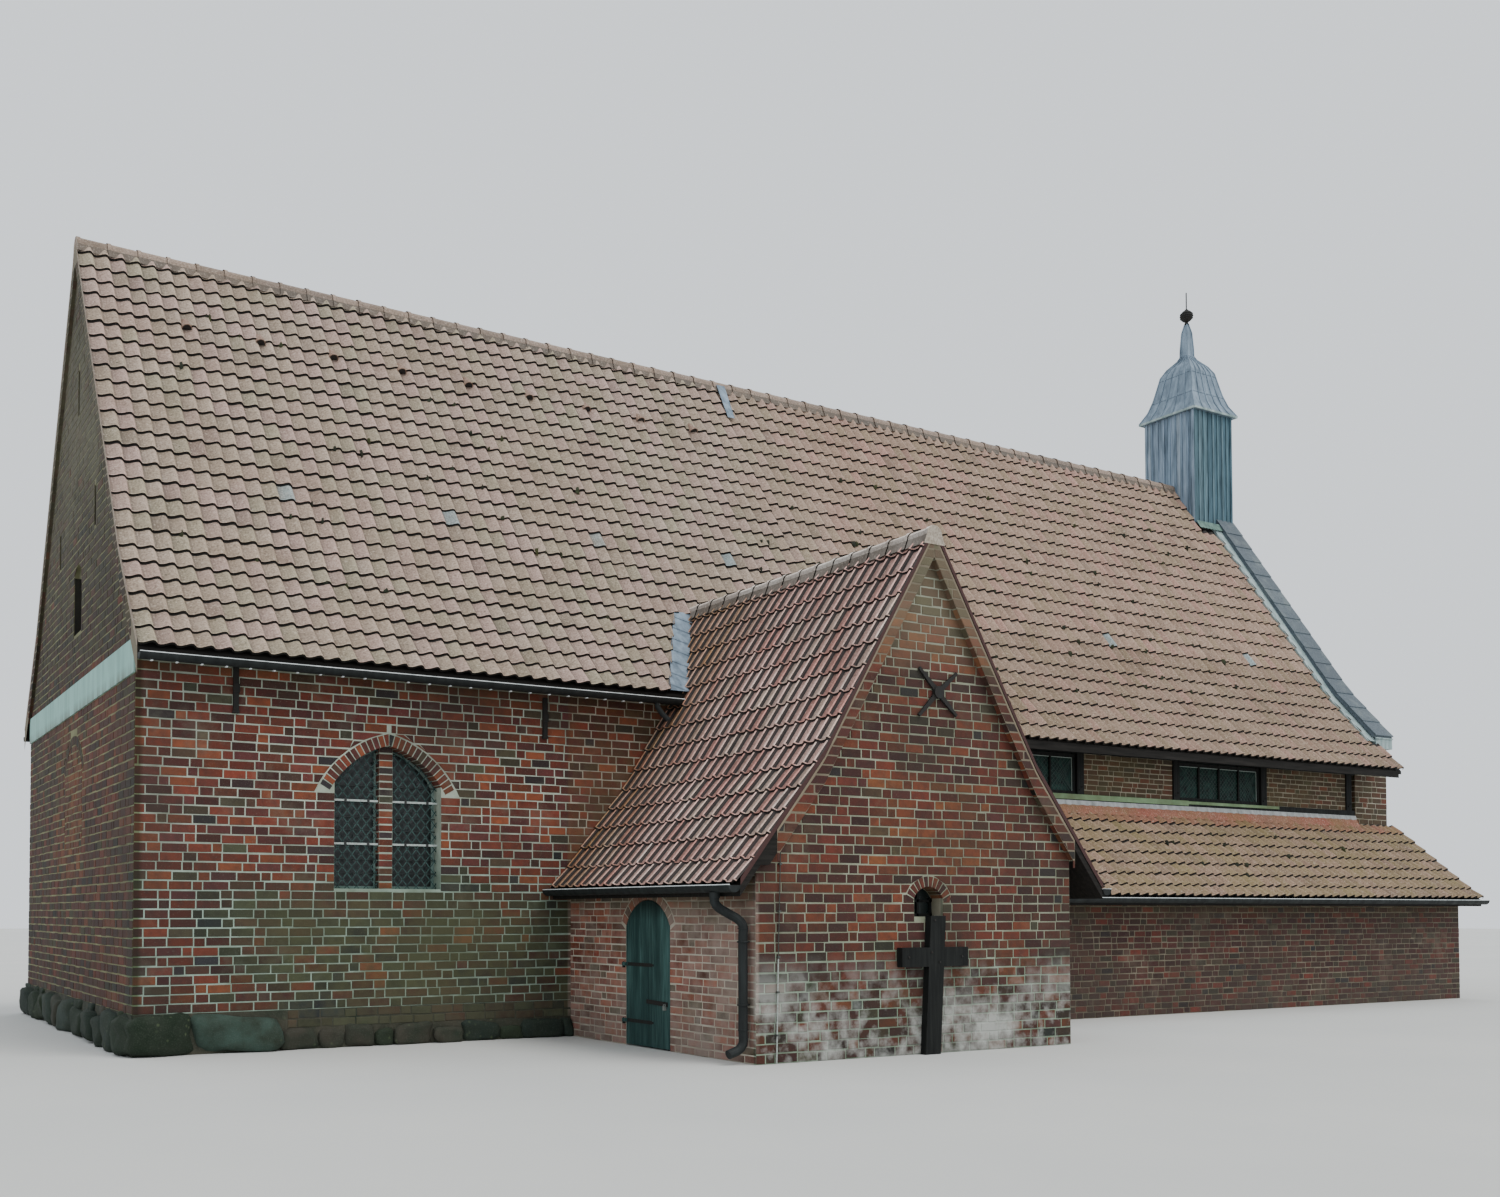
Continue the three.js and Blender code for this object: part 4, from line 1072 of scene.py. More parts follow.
def lay_tiles(soup, slope, along, gauge, cover, limits, tint, rng, reverse=False, profile=TILE_PROFILE,
              strips=TILE_STRIPS, thick=TILE_THICK, raised=TILE_LIFT, under_cap=0.0):
    """Rows of pantiles from the eave up. limits gives the stretches that a row may cover at s."""
    rows = math.ceil(slope.length / gauge - 0.1)
    count = max(1, round((along[1] - along[0]) / cover))
    width = (along[1] - along[0]) / count
    turned = ((slope.along == "x") == (slope.side > 0)) != reverse
    size = len(profile)
    top_faces = [(k, k + 1, size + k + 1, size + k) for k in range(size - 1)]
    front_faces = [(k + size, k + size + 1, k + 1, k) for k in range(size - 1)]
    if turned:
        top_faces = [tuple(reversed(face)) for face in top_faces]
        front_faces = [tuple(reversed(face)) for face in front_faces]
    for row in range(rows):
        s0 = row * gauge
        s1 = min((row + 1) * gauge + TILE_LAP, slope.length - under_cap)
        lift = raised + (EAVE_LIFT if row == 0 else 0.0)
        for (l0, r0), (l1, r1) in limits(row * gauge, min((row + 1) * gauge, slope.length)):
            for column in range(count):
                a0 = along[0] + column * width
                a1 = a0 + width
                if a1 <= min(l0, l1) or a0 >= max(r0, r1):
                    continue
                colour = tint(a0 + width / 2, (row + 0.5) * gauge, row, column, rng)
                edge = lift + rng.uniform(-0.003, 0.003)
                slide = s0 + rng.uniform(-0.006, 0.006)
                low, lip, dirt, high, under = [], [], [], [], []
                share_up = (gauge - SHADOW_AND_DIRT_LINE - (slide - s0)) / (s1 - s0) if s1 - s0 > gauge else 0.94
                for share, height in profile:
                    a = a0 + (1 - share if reverse else share) * width
                    low_a, high_a = min(max(a, l0), r0), min(max(a, l1), r1)
                    low.append(slope.point(low_a, slide, height + edge))
                    lip.append(slope.point(low_a, slide + TILE_LIP, height + edge - 0.001))
                    shadow_and_dirt_a = low_a + (high_a - low_a) * share_up
                    shadow_and_dirt_h = (edge - 0.001) * (1 - share_up) + TILE_BED * share_up
                    dirt.append(slope.point(shadow_and_dirt_a, s0 + (s1 - s0) * share_up, height + shadow_and_dirt_h))
                    high.append(slope.point(high_a, s1, height + TILE_BED))
                    under.append(slope.point(low_a, slide, height + edge - thick))
                # A bright lip as painted highlight, the strips with their painted shade and highlight, a
                # near-black band under the next row as painted shadow with some dirt, and near-black front
                # edges as painted shadow
                soup.sheet(low + lip, top_faces, shade(colour, LIP_HIGHLIGHT), smooth=True)
                soup.sheet(lip + dirt, top_faces, [shade(colour, factor) for factor in strips], smooth=True)
                soup.sheet(dirt + high, top_faces, shade(colour, LAP_SHADE), smooth=True)
                soup.sheet(low + under, front_faces, shade(colour, EDGE_SHADE))


def drop_flat_faces(made):
    """Removes faces of no area, left where a tile was cut away whole."""
    mesh = bmesh.new()
    mesh.from_mesh(made.data)
    bmesh.ops.dissolve_degenerate(mesh, dist=1e-4, edges=mesh.edges)
    mesh.to_mesh(made.data)
    mesh.free()


MAIN_TILE = (srgb(166, 148, 130), srgb(158, 142, 124), srgb(170, 152, 136),
             srgb(168, 144, 132), srgb(154, 144, 122), srgb(172, 146, 136))
EAST_TILE = (srgb(158, 130, 112), srgb(152, 124, 106), srgb(164, 136, 118),
             srgb(148, 126, 102), srgb(166, 128, 114))
PORCH_TILE = (srgb(188, 148, 138), srgb(180, 136, 125), srgb(194, 160, 150),
              srgb(170, 118, 108), srgb(176, 152, 138), srgb(188, 150, 140))
AISLE_TILE = (srgb(150, 122, 102), srgb(142, 114, 96), srgb(134, 110, 92), srgb(154, 126, 106))
MAIN_CAPS = (srgb(150, 132, 120), srgb(134, 118, 106), srgb(160, 140, 126))
# The porch caps are near white: a painted highlight along the top of the porch ridge
PORCH_CAPS = (srgb(242, 234, 224), srgb(226, 214, 202), srgb(234, 222, 210))
GLASS_TILE = srgb(142, 158, 160)
GLASS_TILE_HALF = (0.103, 0.13)
DARK_TILE_SHARE, DARK_TILE_SHADE = 0.05, 0.72
LOW_EAST_Z = 6.2


def picked(colours, rng, spread_by=0.1):
    return shade(rng.choice(colours), rng.uniform(1 - spread_by, 1 + spread_by))


GLASS_TILES = (
    (-9.584, 6.954), (-7.292, 6.955), (-4.994, 6.942), (-2.759, 6.930), (5.35, 6.398), (9.181, 6.463),
)
VENT_TILES_X = (-10.477, -9.473, -8.425, -7.392, -6.327, -5.315, -4.303, -3.312, -2.296)
VENT_TILES_Z = 9.40


def main_tint(slope, front):
    def tint(a, s, row, column, rng):
        east_share = min(max((a - SEAM) / 3.0 + 0.3, 0.0), 1.0)
        colour = blend(picked(MAIN_TILE, rng, 0.06), picked(EAST_TILE, rng, 0.08), east_share)
        if rng.random() < DARK_TILE_SHARE:
            colour = shade(colour, DARK_TILE_SHADE)
        z = slope.at(s)[0][1]
        if z < LOW_EAST_Z and a > SEAM:
            colour = shade(blend(colour, srgb(128, 108, 80), 0.5 * rng.random()), 0.84)
        wide, high = GLASS_TILE_HALF
        if front and any(abs(a - x) < wide and abs(z - h) < high for x, h in GLASS_TILES):
            return GLASS_TILE
        return colour
    return tint


def east_stop(d):
    """Where the rows end in the east: over the eave, before the parapet or at the turret."""
    if d > NORTH + 0.01:
        return EAVE_END
    return PARAPET - 0.24 if d > TURRET_HALF else TURRET_WEST


def lay_main_front_west(rng):
    """The front slope west of the seam, to both sides of the porch roof."""
    soup = Soup()
    slope = Slope(main_line(NAVE_EAVE), "x", -1)

    def over_porch(s1):
        return slope.at(s1)[0][1] > PORCH_RIDGE

    def west_part(s0, s1):
        spans = []
        for s in (s0, s1):
            z = slope.at(s)[0][1]
            stop = SEAM if over_porch(s1) else min(SEAM, PORCH_RIDGE_X - porch_reach(z) - 0.29)
            spans.append((MAIN_VERGE, stop))
        return [tuple(spans)]

    lay_tiles(soup, slope, (MAIN_VERGE, SEAM), NAVE_GAUGE, MAIN_COVER, west_part, main_tint(slope, True), rng)

    def between(s0, s1):
        spans = []
        for s in (s0, s1):
            z = slope.at(s)[0][1]
            start = min(SEAM, PORCH_RIDGE_X + porch_reach(z) + 0.05)
            spans.append((start, SEAM))
        return [] if over_porch(s1) else [tuple(spans)]

    lay_tiles(soup, slope, (MAIN_VERGE, SEAM), NAVE_GAUGE, MAIN_COVER, between, main_tint(slope, True), rng)
    drop_flat_faces(soup.piece("main_roof_tiles_front_west", "main_tile", "roof_tile"))


def lay_main_front_east(rng):
    """The front slope east of the seam, its rows wider apart."""
    soup = Soup()
    slope = Slope(main_line(AISLE_SIDE_EAVE), "x", -1)

    def east_part(s0, s1):
        spans = []
        for s in (s0, s1):
            d, z = slope.at(s)[0]
            start = SEAM if z > PORCH_RIDGE else max(SEAM, PORCH_RIDGE_X + porch_reach(z) + 0.03)
            spans.append((start, east_stop(d)))
        if spans[0][1] != spans[1][1]:
            smaller = min(spans[0][1], spans[1][1])
            spans = [(start, smaller) for start, _ in spans]
        return [tuple(spans)]

    lay_tiles(soup, slope, (SEAM, EAVE_END), EAST_GAUGE, MAIN_COVER, east_part, main_tint(slope, True), rng)
    drop_flat_faces(soup.piece("main_roof_tiles_front_east", "main_tile", "roof_tile"))


def lay_main_back(rng):
    soup = Soup()
    slope = Slope(main_line(NAVE_EAVE), "x", 1)

    def back_part(s0, s1):
        stop = min(east_stop(slope.at(s)[0][0]) for s in (s0, s1))
        return [((MAIN_VERGE, stop), (MAIN_VERGE, stop))]

    lay_tiles(soup, slope, (MAIN_VERGE, EAVE_END), NAVE_GAUGE, MAIN_COVER, back_part,
              main_tint(slope, False), rng)
    drop_flat_faces(soup.piece("main_roof_tiles_back", "main_tile", "roof_tile"))


def lay_main_roof():
    for lay in (lay_main_front_west, lay_main_front_east, lay_main_back):
        lay(random_source)


def valley_y(z):
    """Where a level line on the porch roof runs into the main roof or the nave wall."""
    if z >= main_top(NAVE_EAVE):
        return -main_reach(z)
    return SOUTH


def lay_porch_roof():
    rng = random_source

    def tint(a, s, row, column, rng):
        colour = picked(PORCH_TILE, rng, 0.12)
        if s > 3.9:
            colour = blend(colour, srgb(158, 120, 112), 0.5)
        near_nave = min(max((a - (SOUTH - 1.7)) / 1.4, 0.0), 1.0)
        colour = blend(colour, srgb(120, 86, 42), near_nave * rng.uniform(0.45, 0.95))
        return colour

    for side, name in ((-1, "porch_roof_tiles_west"), (1, "porch_roof_tiles_east")):
        slope = Slope(PORCH_LINE, "y", side, PORCH_RIDGE_X)

        def limits(s0, s1, side=side, slope=slope):
            spans = []
            for s in (s0, s1):
                z = slope.at(s)[0][1]
                stop = valley_y(z + 0.03)
                if side > 0 and z < 3.20:
                    stop = min(stop, SOUTH + (z - AISLE_TOP) / AISLE_TILT)
                spans.append((PORCH_VERGE, max(stop, PORCH_VERGE)))
            return [tuple(spans)]

        soup = Soup()
        lay_tiles(soup, slope, (PORCH_VERGE, -0.4), PORCH_GAUGE, PORCH_COVER, limits, tint, rng,
                  reverse=side < 0, profile=PORCH_PROFILE, strips=PORCH_STRIPS, thick=PORCH_THICK,
                  raised=PORCH_LIFT, under_cap=0.13)
        drop_flat_faces(soup.piece(name, "porch_tile", "porch_tile"))


def lay_aisle_roof():
    rng = random_source
    slope = Slope(AISLE_LINE, "x", -1)

    def limits(s0, s1):
        spans = []
        for s in (s0, s1):
            z = slope.at(s)[0][1]
            spans.append((PORCH_RIDGE_X + porch_reach(z) + 0.02, AISLE_END))
        return [tuple(spans)]

    def tint(a, s, row, column, rng):
        colour = picked(AISLE_TILE, rng, 0.10)
        colour = shade(colour, 1.0 - 0.16 * min(max((a - 2.0) / 7.0, 0.0), 1.0))
        if s > slope.length - 0.30:
            colour = blend(colour, srgb(150, 88, 68), 0.75)
        mossy = min(max((a - 2.0) / 8.0, 0.0), 1.0)
        if rng.random() < 0.15 + 0.35 * mossy:
            colour = blend(colour, srgb(128, 112, 72), 0.45)
        return colour

    soup = Soup()
    lay_tiles(soup, slope, (PORCH_EAST, AISLE_END), AISLE_GAUGE, AISLE_COVER, limits, tint, rng)
    drop_flat_faces(soup.piece("aisle_roof_tiles", "aisle_tile", "roof_tile"))


def lay_ridge(name, slot, material, radius, base, along, start, end, at, length, colours, replaced,
              flank=0.85):
    """Half-round ridge tiles, each lapping the next, bedded in pale mortar. Their lower sides are darkened,
    and so is the step at each lap: painted shade.
    """
    rng = random_source
    soup = Soup()
    count = round(abs(end - start) / length)
    step = (end - start) / count
    sides = 10

    def ring(place, r, lift):
        points = []
        for k in range(sides + 1):
            turn = math.pi * k / sides
            across, z = at - r * math.cos(turn), base + lift + r * math.sin(turn) * 0.96
            points.append((place, across, z) if along == "x" else (across, place, z))
        flare = r + 0.045
        foot = []
        for side in (-1, 1):
            across, z = at + side * flare, base - 0.11
            foot.append((place, across, z) if along == "x" else (across, place, z))
        return [foot[0], *points, foot[1]]

    def strip(first, second, tint):
        size = len(first)
        faces = [(k, k + 1, size + k + 1, size + k) for k in range(size - 1)]
        side_tints = [srgb(92, 84, 76), shade(tint, flank), shade(tint, flank)]
        tints = [*side_tints, *[tint] * (size - 7), *side_tints[::-1]]
        soup.sheet(first + second, faces, tints, smooth=True)

    for k in range(count):
        a0, a1 = start + k * step, start + (k + 1) * step
        lip = a0 + 0.05 * (1 if step > 0 else -1)
        colour = picked(colours, rng, 0.08)
        lift = rng.uniform(-0.003, 0.003)
        strip(ring(a0, radius, lift), ring(lip, radius, lift), shade(colour, 1.12))
        strip(ring(lip, radius - 0.012, lift), ring(a1, radius - 0.016, lift), colour)
        # The step at each lap is darkened as painted shade
        strip(ring(lip, radius, lift), ring(lip, radius - 0.012, lift), shade(colour, 0.6))
    for place, first in ((start, True), (end, False)):
        points = ring(place, radius if first else radius - 0.016, 0.0)
        order = tuple(range(len(points)))
        soup.sheet(points, [order if first else tuple(reversed(order))], srgb(168, 156, 140))
    return soup.piece(name, material, slot, replaces=replaced)


def lay_ridges():
    lay_ridge("main_ridge_caps", "roof_tile", "main_tile", 0.145, RIDGE - 0.066, "x", MAIN_VERGE,
              TURRET_WEST, 0.0, 0.40, MAIN_CAPS, ("main_ridge_tiles",))
    back = -main_reach(PORCH_RIDGE + 0.06)
    lay_ridge("porch_ridge_caps", "porch_tile", "ridge_tile", 0.115, PORCH_RIDGE - 0.048, "y", PORCH_VERGE,
              back, PORCH_RIDGE_X, 0.33, PORCH_CAPS, ("porch_ridge_tiles",), flank=0.42)


# Windows


def outline_reach(hole, u, slope, low, high, margin):
    """First and last height at which the line u + slope * z lies inside an opening."""
    inside = []
    for step in range(121):
        z = low + (high - low) * step / 120
        span = hole(z)
        if span is not None and span[0] + margin < u + slope * z < span[1] - margin:
            inside.append(z)
    return (inside[0], inside[-1]) if len(inside) > 1 else None


def flat_bar(soup, wall, start, end, width, h0, h1, tint=WHITE):
    """A flat bar from (u, z) to (u, z), lying on the wall plane between the depths h0 and h1."""
    (u0, z0), (u1, z1) = start, end
    length = math.hypot(u1 - u0, z1 - z0)
    side_u, side_z = -(z1 - z0) / length * width / 2, (u1 - u0) / length * width / 2
    ring = [(u0 - side_u, z0 - side_z), (u1 - side_u, z1 - side_z),
            (u1 + side_u, z1 + side_z), (u0 + side_u, z0 + side_z)]
    points = [wall.point(u, z, h0) for u, z in ring] + [wall.point(u, z, h1) for u, z in ring]
    faces = [(4, 5, 6, 7), (0, 1, 5, 4), (1, 2, 6, 5), (2, 3, 7, 6), (3, 0, 4, 7)]
    soup.sheet(points, faces, tint)


def edge_points(hole, low, high, inset, sign, steps=14):
    points = []
    for step in range(steps + 1):
        z = low + (high - low) * step / steps
        span = hole(z)
        if span is not None:
            points.append((span[1] - inset if sign > 0 else span[0] + inset, z))
    return points


MESH_WIDTH, MESH_HEIGHT = 0.12, 0.15
MESH_DEPTH = 0.135


def add_lattice(soup, wall, hole, span, level, depth, thick):
    """Diamond lattice of thin wires, cut off at the edge of the opening."""
    tilt = MESH_WIDTH / MESH_HEIGHT
    low, high = level
    lean = (high - low) * tilt / 2
    for sign in (-1, 1):
        for k in range(int((span[1] - span[0] + 2 * lean) / MESH_WIDTH) + 1):
            u = span[0] - lean + k * MESH_WIDTH - sign * tilt * (low + high) / 2
            inside = outline_reach(hole, u, sign * tilt, low, high, 0.004)
            if inside:
                ends = [(u + sign * tilt * z, z) for z in inside]
                flat_bar(soup, wall, ends[0], ends[1], thick, -depth, 0.005 - depth)


# Height and thickness of each bar across a window, and whether it is a pale one outside the lattice.
SADDLE_BARS = (
    (2.930, 0.024, True), (2.410, 0.024, True), (3.115, 0.012, False), (2.735, 0.012, False),
    (2.580, 0.012, False), (2.230, 0.012, False), (2.060, 0.012, False),
)
PALE_BAR, DARK_BAR, BAR_CLIP = srgb(176, 186, 182), srgb(30, 40, 40), srgb(30, 34, 34)


def add_putty(putty, wall, hole, centre, front):
    """Pale strips along both jambs, both sides of the mullion and the sill."""
    low, high, half = WINDOW["sill"], WINDOW["crown"], WINDOW["half"]
    for sign in (-1, 1):
        jamb = edge_points(hole, low, high - 0.02, 0.0, sign)
        inner = edge_points(hole, low, high - 0.02, 0.045, sign)
        for (u0, z0), (u1, z1), (v1, w1), (v0, w0) in zip(jamb, jamb[1:], inner[1:], inner):
            quad = [wall.point(u, z, front) for u, z in ((u0, z0), (u1, z1), (v1, w1), (v0, w0))]
            putty.face(*(quad if sign > 0 else quad[::-1]))
        flat_bar(putty, wall, (centre + sign * 0.100, low), (centre + sign * 0.100, high - 0.08), 0.030,
                 front - 0.004, front)
    flat_bar(putty, wall, (centre - half, low + 0.018), (centre + half, low + 0.018), 0.036, front - 0.004,
             front + 0.001)


def add_saddle_bars(bars, wall, hole, centre, front):
    for z, thick, pale in SADDLE_BARS:
        left, right = hole(z)
        for u0, u1 in ((left, centre - MULLION_HALF), (centre + MULLION_HALF, right)):
            level = 0.004 - MESH_DEPTH if pale else front + 0.012
            flat_bar(bars, wall, (u0, z), (u1, z), thick, level, level + 0.012,
                     PALE_BAR if pale else DARK_BAR)
            for share in (0.3, 0.78) if pale else ():
                u = u0 + (u1 - u0) * share
                flat_bar(bars, wall, (u, z - 0.022), (u, z + 0.022), 0.03, level + 0.012, level + 0.018,
                         BAR_CLIP)


def glaze_window(soups, side, at, centre):
    """Wire lattice, pale putty edge, saddle bars and their clips of one two-light window."""
    lattice, putty, bars = soups
    wall = Wall(side, at)
    hole = pointed_hole(centre)
    half = WINDOW["half"]
    front = 0.010 - PANE_DEPTH
    for left, right in ((centre - half, centre - MULLION_HALF), (centre + MULLION_HALF, centre + half)):
        def light(z, left=left, right=right):
            span = hole(z)
            inner = (max(left, span[0]), min(right, span[1])) if span else None
            return inner if inner and inner[0] < inner[1] else None
        add_lattice(lattice, wall, light, (left, right), (WINDOW["sill"], WINDOW["crown"]), MESH_DEPTH, 0.011)
    add_putty(putty, wall, hole, centre, front)
    add_saddle_bars(bars, wall, hole, centre, front)


def glaze_windows():
    soups = (Soup(), Soup(), Soup())
    glaze_window(soups, "south", SOUTH, FRONT_WINDOW_X)
    for x in NORTH_WINDOWS_X:
        glaze_window(soups, "north", NORTH, -x)
    glaze_window(soups, "east", EAST, 0.0)
    soups[0].piece("window_wire_lattice", "came", "dark_metal")
    soups[1].piece("window_putty", "putty", "plaster")
    soups[2].piece("window_bars", "tinted_iron", "dark_metal")


def frame_porch_window():
    soup = Soup()
    wall = Wall("south", PORCH_FRONT)
    x, half, depth = GABLE_WINDOW["x"], GABLE_WINDOW["half"], -0.20
    sill, springing = GABLE_WINDOW["sill"], GABLE_WINDOW["springing"]
    crown = springing + GABLE_WINDOW["rise"] - 0.02
    for u, top in ((x - half + 0.02, springing), (x, crown), (x + half - 0.02, springing)):
        flat_bar(soup, wall, (u, sill), (u, top), 0.03, depth, depth + 0.025)
    for z in (sill + 0.02, springing - 0.03):
        flat_bar(soup, wall, (x - half, z), (x + half, z), 0.03, depth, depth + 0.025)
    soup.piece("porch_window_frame", "timber", "timber")


PANE_EDGE, PANE_LEAD = srgb(150, 166, 160), srgb(30, 56, 50)
PANE_LEAN, PANE_LEADS = 0.28, 26


def add_pane_leads(panes, wall, u0, u1, low_z, high_z):
    """Slanting leads between two posts, each pair leaning both ways, cut off near the posts."""
    first, last = u0 + 0.05, u1 - 0.05
    for k in range(PANE_LEADS * 2):
        u = u0 + (u1 - u0) * ((k // 2 + 0.5) / PANE_LEADS)
        lean = PANE_LEAN if k % 2 else -PANE_LEAN
        a, b = u - lean, u + lean
        start_z = low_z
        if a < first:
            start_z += (first - a) / (b - a) * (high_z - low_z)
            a = first
        if b < first:
            continue
        a, b = min(a, last), min(max(b, first), last)
        if abs(a - b) > 0.02:
            flat_bar(panes, wall, (a, start_z), (b, high_z), 0.006, 0.002, 0.006, PANE_LEAD)


def glaze_clerestory():
    """Frames, panes and leads between the posts."""
    wall = Wall("south", SOUTH + 0.075)
    frames, panes = Soup(), Soup()
    low, high = PANEL_LEVEL
    for left, right in ((1, 2), (3, 4)):
        u0, u1 = CLERESTORY_POSTS[left] + POST_HALF, CLERESTORY_POSTS[right] - POST_HALF
        for z in (low + 0.03, high - 0.045):
            flat_bar(frames, wall, (u0, z), (u1, z), 0.06, 0.0, 0.035)
        for k in range(5):
            u = u0 + 0.03 + (u1 - u0 - 0.06) * k / 4
            flat_bar(frames, wall, (u, low), (u, high), 0.05 if k in (0, 4) else 0.035, 0.0, 0.03)
        foot, head = low + 0.06, high - 0.08
        flat_bar(panes, wall, (u0 + 0.05, head), (u1 - 0.05, head), 0.010, 0.006, 0.016, PANE_EDGE)
        flat_bar(panes, wall, (u1 - 0.06, foot), (u1 - 0.06, head), 0.010, 0.006, 0.016, PANE_EDGE)
        add_pane_leads(panes, wall, u0, u1, foot, head)
    frames.piece("clerestory_window_frames", "timber", "timber")
    panes.piece("clerestory_panes", "tinted_iron", "dark_metal")


def dress_clerestory():
    """The mossy sill edge, and the pegs and rails of the timber frame."""
    soup = Soup()
    front = Wall("south", SOUTH)
    flat_bar(soup, front, (PORCH_EAST, 3.462), (5.9, 3.462), 0.085, 0.0, 0.014)
    flat_bar(soup, front, (5.9, 3.472), (8.4, 3.472), 0.05, 0.0, 0.010)
    soup.piece("clerestory_sill_moss", "moss_strip", "timber")

    pegs = Soup()
    for x in CLERESTORY_POSTS:
        for z in (3.58, 4.26):
            pegs.tube([(x - 0.02, SOUTH + 0.002, z), (x - 0.02, SOUTH - 0.012, z)], 0.014, 8)
            pegs.tube([(x + 0.03, SOUTH + 0.002, z + 0.05), (x + 0.03, SOUTH - 0.012, z + 0.05)], 0.014, 8)
    flat_bar(pegs, front, (PORCH_EAST, 4.182), (10.6, 4.182), 0.012, 0.0, 0.006)
    flat_bar(pegs, front, (PORCH_EAST, 4.46), (10.6, 4.46), 0.05, 0.0, 0.012)
    pegs.piece("clerestory_pegs", "timber", "timber")


# Sheet metal


def lay_lead_flashing():
    """A lead strip over the top of the aisle tiles, its edge cut to their waves, on a red fillet."""
    soup, fillet = Soup(), Soup()
    cover = (AISLE_END - PORCH_EAST) / round((AISLE_END - PORCH_EAST) / AISLE_COVER)
    wall_line, tile_line = [], []
    x = PORCH_EAST
    while x < 10.70:
        for share, height in TILE_PROFILE[:-1]:
            place = x + share * cover
            if place > 10.72:
                break
            wall_line.append((place, SOUTH - 0.016, 3.405))
            out = SOUTH - 0.034 - (0.010 if height > 0.01 else 0.0)
            tile_line.append((place, out, 3.338 - height * 0.20))
        x += cover
    start = PORCH_RIDGE_X + porch_reach(3.25)
    strip = [(a, b) for a, b in zip(wall_line, tile_line) if a[0] > start]
    for (a, b), (c, d) in zip(strip, strip[1:]):
        soup.face(b, d, c, a)
        lower = [(p[0], p[1] + 0.004, p[2] - 0.012) for p in (b, d)]
        soup.face(lower[0], lower[1], d, b, tint=srgb(120, 120, 120))
        toes = [(p[0], SOUTH - 0.115, aisle_top(SOUTH - 0.115) + 0.060) for p in (b, d)]
        behind = [(p[0], p[1] + 0.006, p[2]) for p in (d, b)]
        fillet.face(*toes, *behind, tint=srgb(150, 84, 66))
    soup.piece("aisle_lead_flashing", "lead", "zinc")
    fillet.piece("aisle_roof_fillet", "aisle_tile", "roof_tile")


def slope_strip(soup, slope, lines, h, tint=WHITE, seams=0):
    """A sheet strip on a slope between two lines given as [(a, s), ...] of equal length."""
    first, second = lines
    for k in range(len(first) - 1):
        a, b, c, d = first[k], first[k + 1], second[k + 1], second[k]
        corners = [slope.point(*place, h) for place in (a, b, c, d)]
        soup.face(*corners, tint=tint)
    for k in range(seams):
        share = (k + 0.5) / seams
        start = along_line(first, share)
        end = along_line(second, max(0.0, share - 0.5 / seams))
        seam = [slope.point(a, s + side * 0.008, h + 0.012)
                for (a, s), side in ((start, -1), (start, 1), (end, 1), (end, -1))]
        soup.face(*seam, tint=shade(tint, 0.75))


def along_line(line, share):
    place = share * (len(line) - 1)
    index = min(int(place), len(line) - 2)
    rest = place - index
    return tuple(a + (b - a) * rest for a, b in zip(line[index], line[index + 1]))


def slope_places(slope, heights):
    """The distance up the slope at each height."""
    found = []
    for z in heights:
        low, high = 0.0, slope.length
        for _ in range(40):
            middle = (low + high) / 2
            if slope.at(middle)[0][1] < z:
                low = middle
            else:
                high = middle
        found.append(low)
    return found


VALLEY_HEIGHTS = [4.490 + 1.335 * k / 9 for k in range(10)]
SHEET_FOOT, VALLEY_LIFT, PATCH_LIFT = 0.004, 0.056, 0.098
SOAKER_FOOT, SOAKER_LIFT, UPSTAND_LIFT, LIP_FOOT = 4.80, 0.066, 0.125, 0.02


def lay_valley_zinc():
    """The sheet in the valley west of the porch roof, and the patch at the seam of the two roof fields."""
    soup = Soup()
    slope = Slope(main_line(NAVE_EAVE), "x", -1)
    places = slope_places(slope, VALLEY_HEIGHTS)
    valley = [PORCH_RIDGE_X - porch_reach(z) for z in VALLEY_HEIGHTS]
    left = [(x - 0.31, s) for x, s in zip(valley, places)]
    right = [(x + 0.03, s) for x, s in zip(valley, places)]
    slope_strip(soup, slope, (left, right), VALLEY_LIFT, seams=7)
    for a, b in zip(left, left[1:]):
        soup.face(slope.point(*a, SHEET_FOOT), slope.point(*a, VALLEY_LIFT),
                  slope.point(*b, VALLEY_LIFT), slope.point(*b, SHEET_FOOT))
    patch = [(SEAM - 0.06, slope.length - 0.95), (SEAM + 0.02, slope.length - 0.10)]
    other = [(SEAM + 0.08, slope.length - 0.95), (SEAM + 0.19, slope.length - 0.10)]
    slope_strip(soup, slope, (patch, other), PATCH_LIFT)
    soup.piece("zinc_valley", "zinc", "zinc")


def lay_parapet_zinc():
    """The strip between the tiles and the east parapet, its upstand and lip, and a box at each foot."""
    soup = Soup()
    for side, eave in ((-1, AISLE_SIDE_EAVE), (1, NAVE_EAVE)):
        slope = Slope(main_line(eave), "x", side)
        top_z = main_top(TURRET_HALF)
        heights = [SOAKER_FOOT + (top_z - SOAKER_FOOT) * k / 36 for k in range(37)]
        places = slope_places(slope, heights)
        inner = [(PARAPET - 0.27 + 0.02 * (k % 2), s) for k, s in enumerate(places)]
        outer = [(PARAPET - 0.006, s) for s in places]
        lines = (inner, outer) if side < 0 else (outer, inner)
        slope_strip(soup, slope, lines, SOAKER_LIFT)
        for a, b, c, d in zip(outer, outer[1:], inner, inner[1:]):
            upstand = [slope.point(*a, SOAKER_LIFT), slope.point(*b, SOAKER_LIFT),
                       slope.point(*b, UPSTAND_LIFT), slope.point(*a, UPSTAND_LIFT)]
            soup.face(*(upstand if side < 0 else upstand[::-1]))
            lip = [slope.point(*c, SOAKER_LIFT), slope.point(*d, SOAKER_LIFT),
                   slope.point(*d, LIP_FOOT), slope.point(*c, LIP_FOOT)]
            soup.face(*(lip[::-1] if side < 0 else lip))
        y = side * 3.93
        soup.box((PARAPET - 0.03, EAST + 0.035), sorted((y - 0.055, y + 0.075)), (4.715, 4.90))
        soup.box((PARAPET - 0.045, EAST + 0.045), sorted((y - 0.07, y + 0.085)), (4.90, 4.925),
                 srgb(220, 226, 230))
    soup.piece("parapet_zinc", "pale_zinc", "zinc")


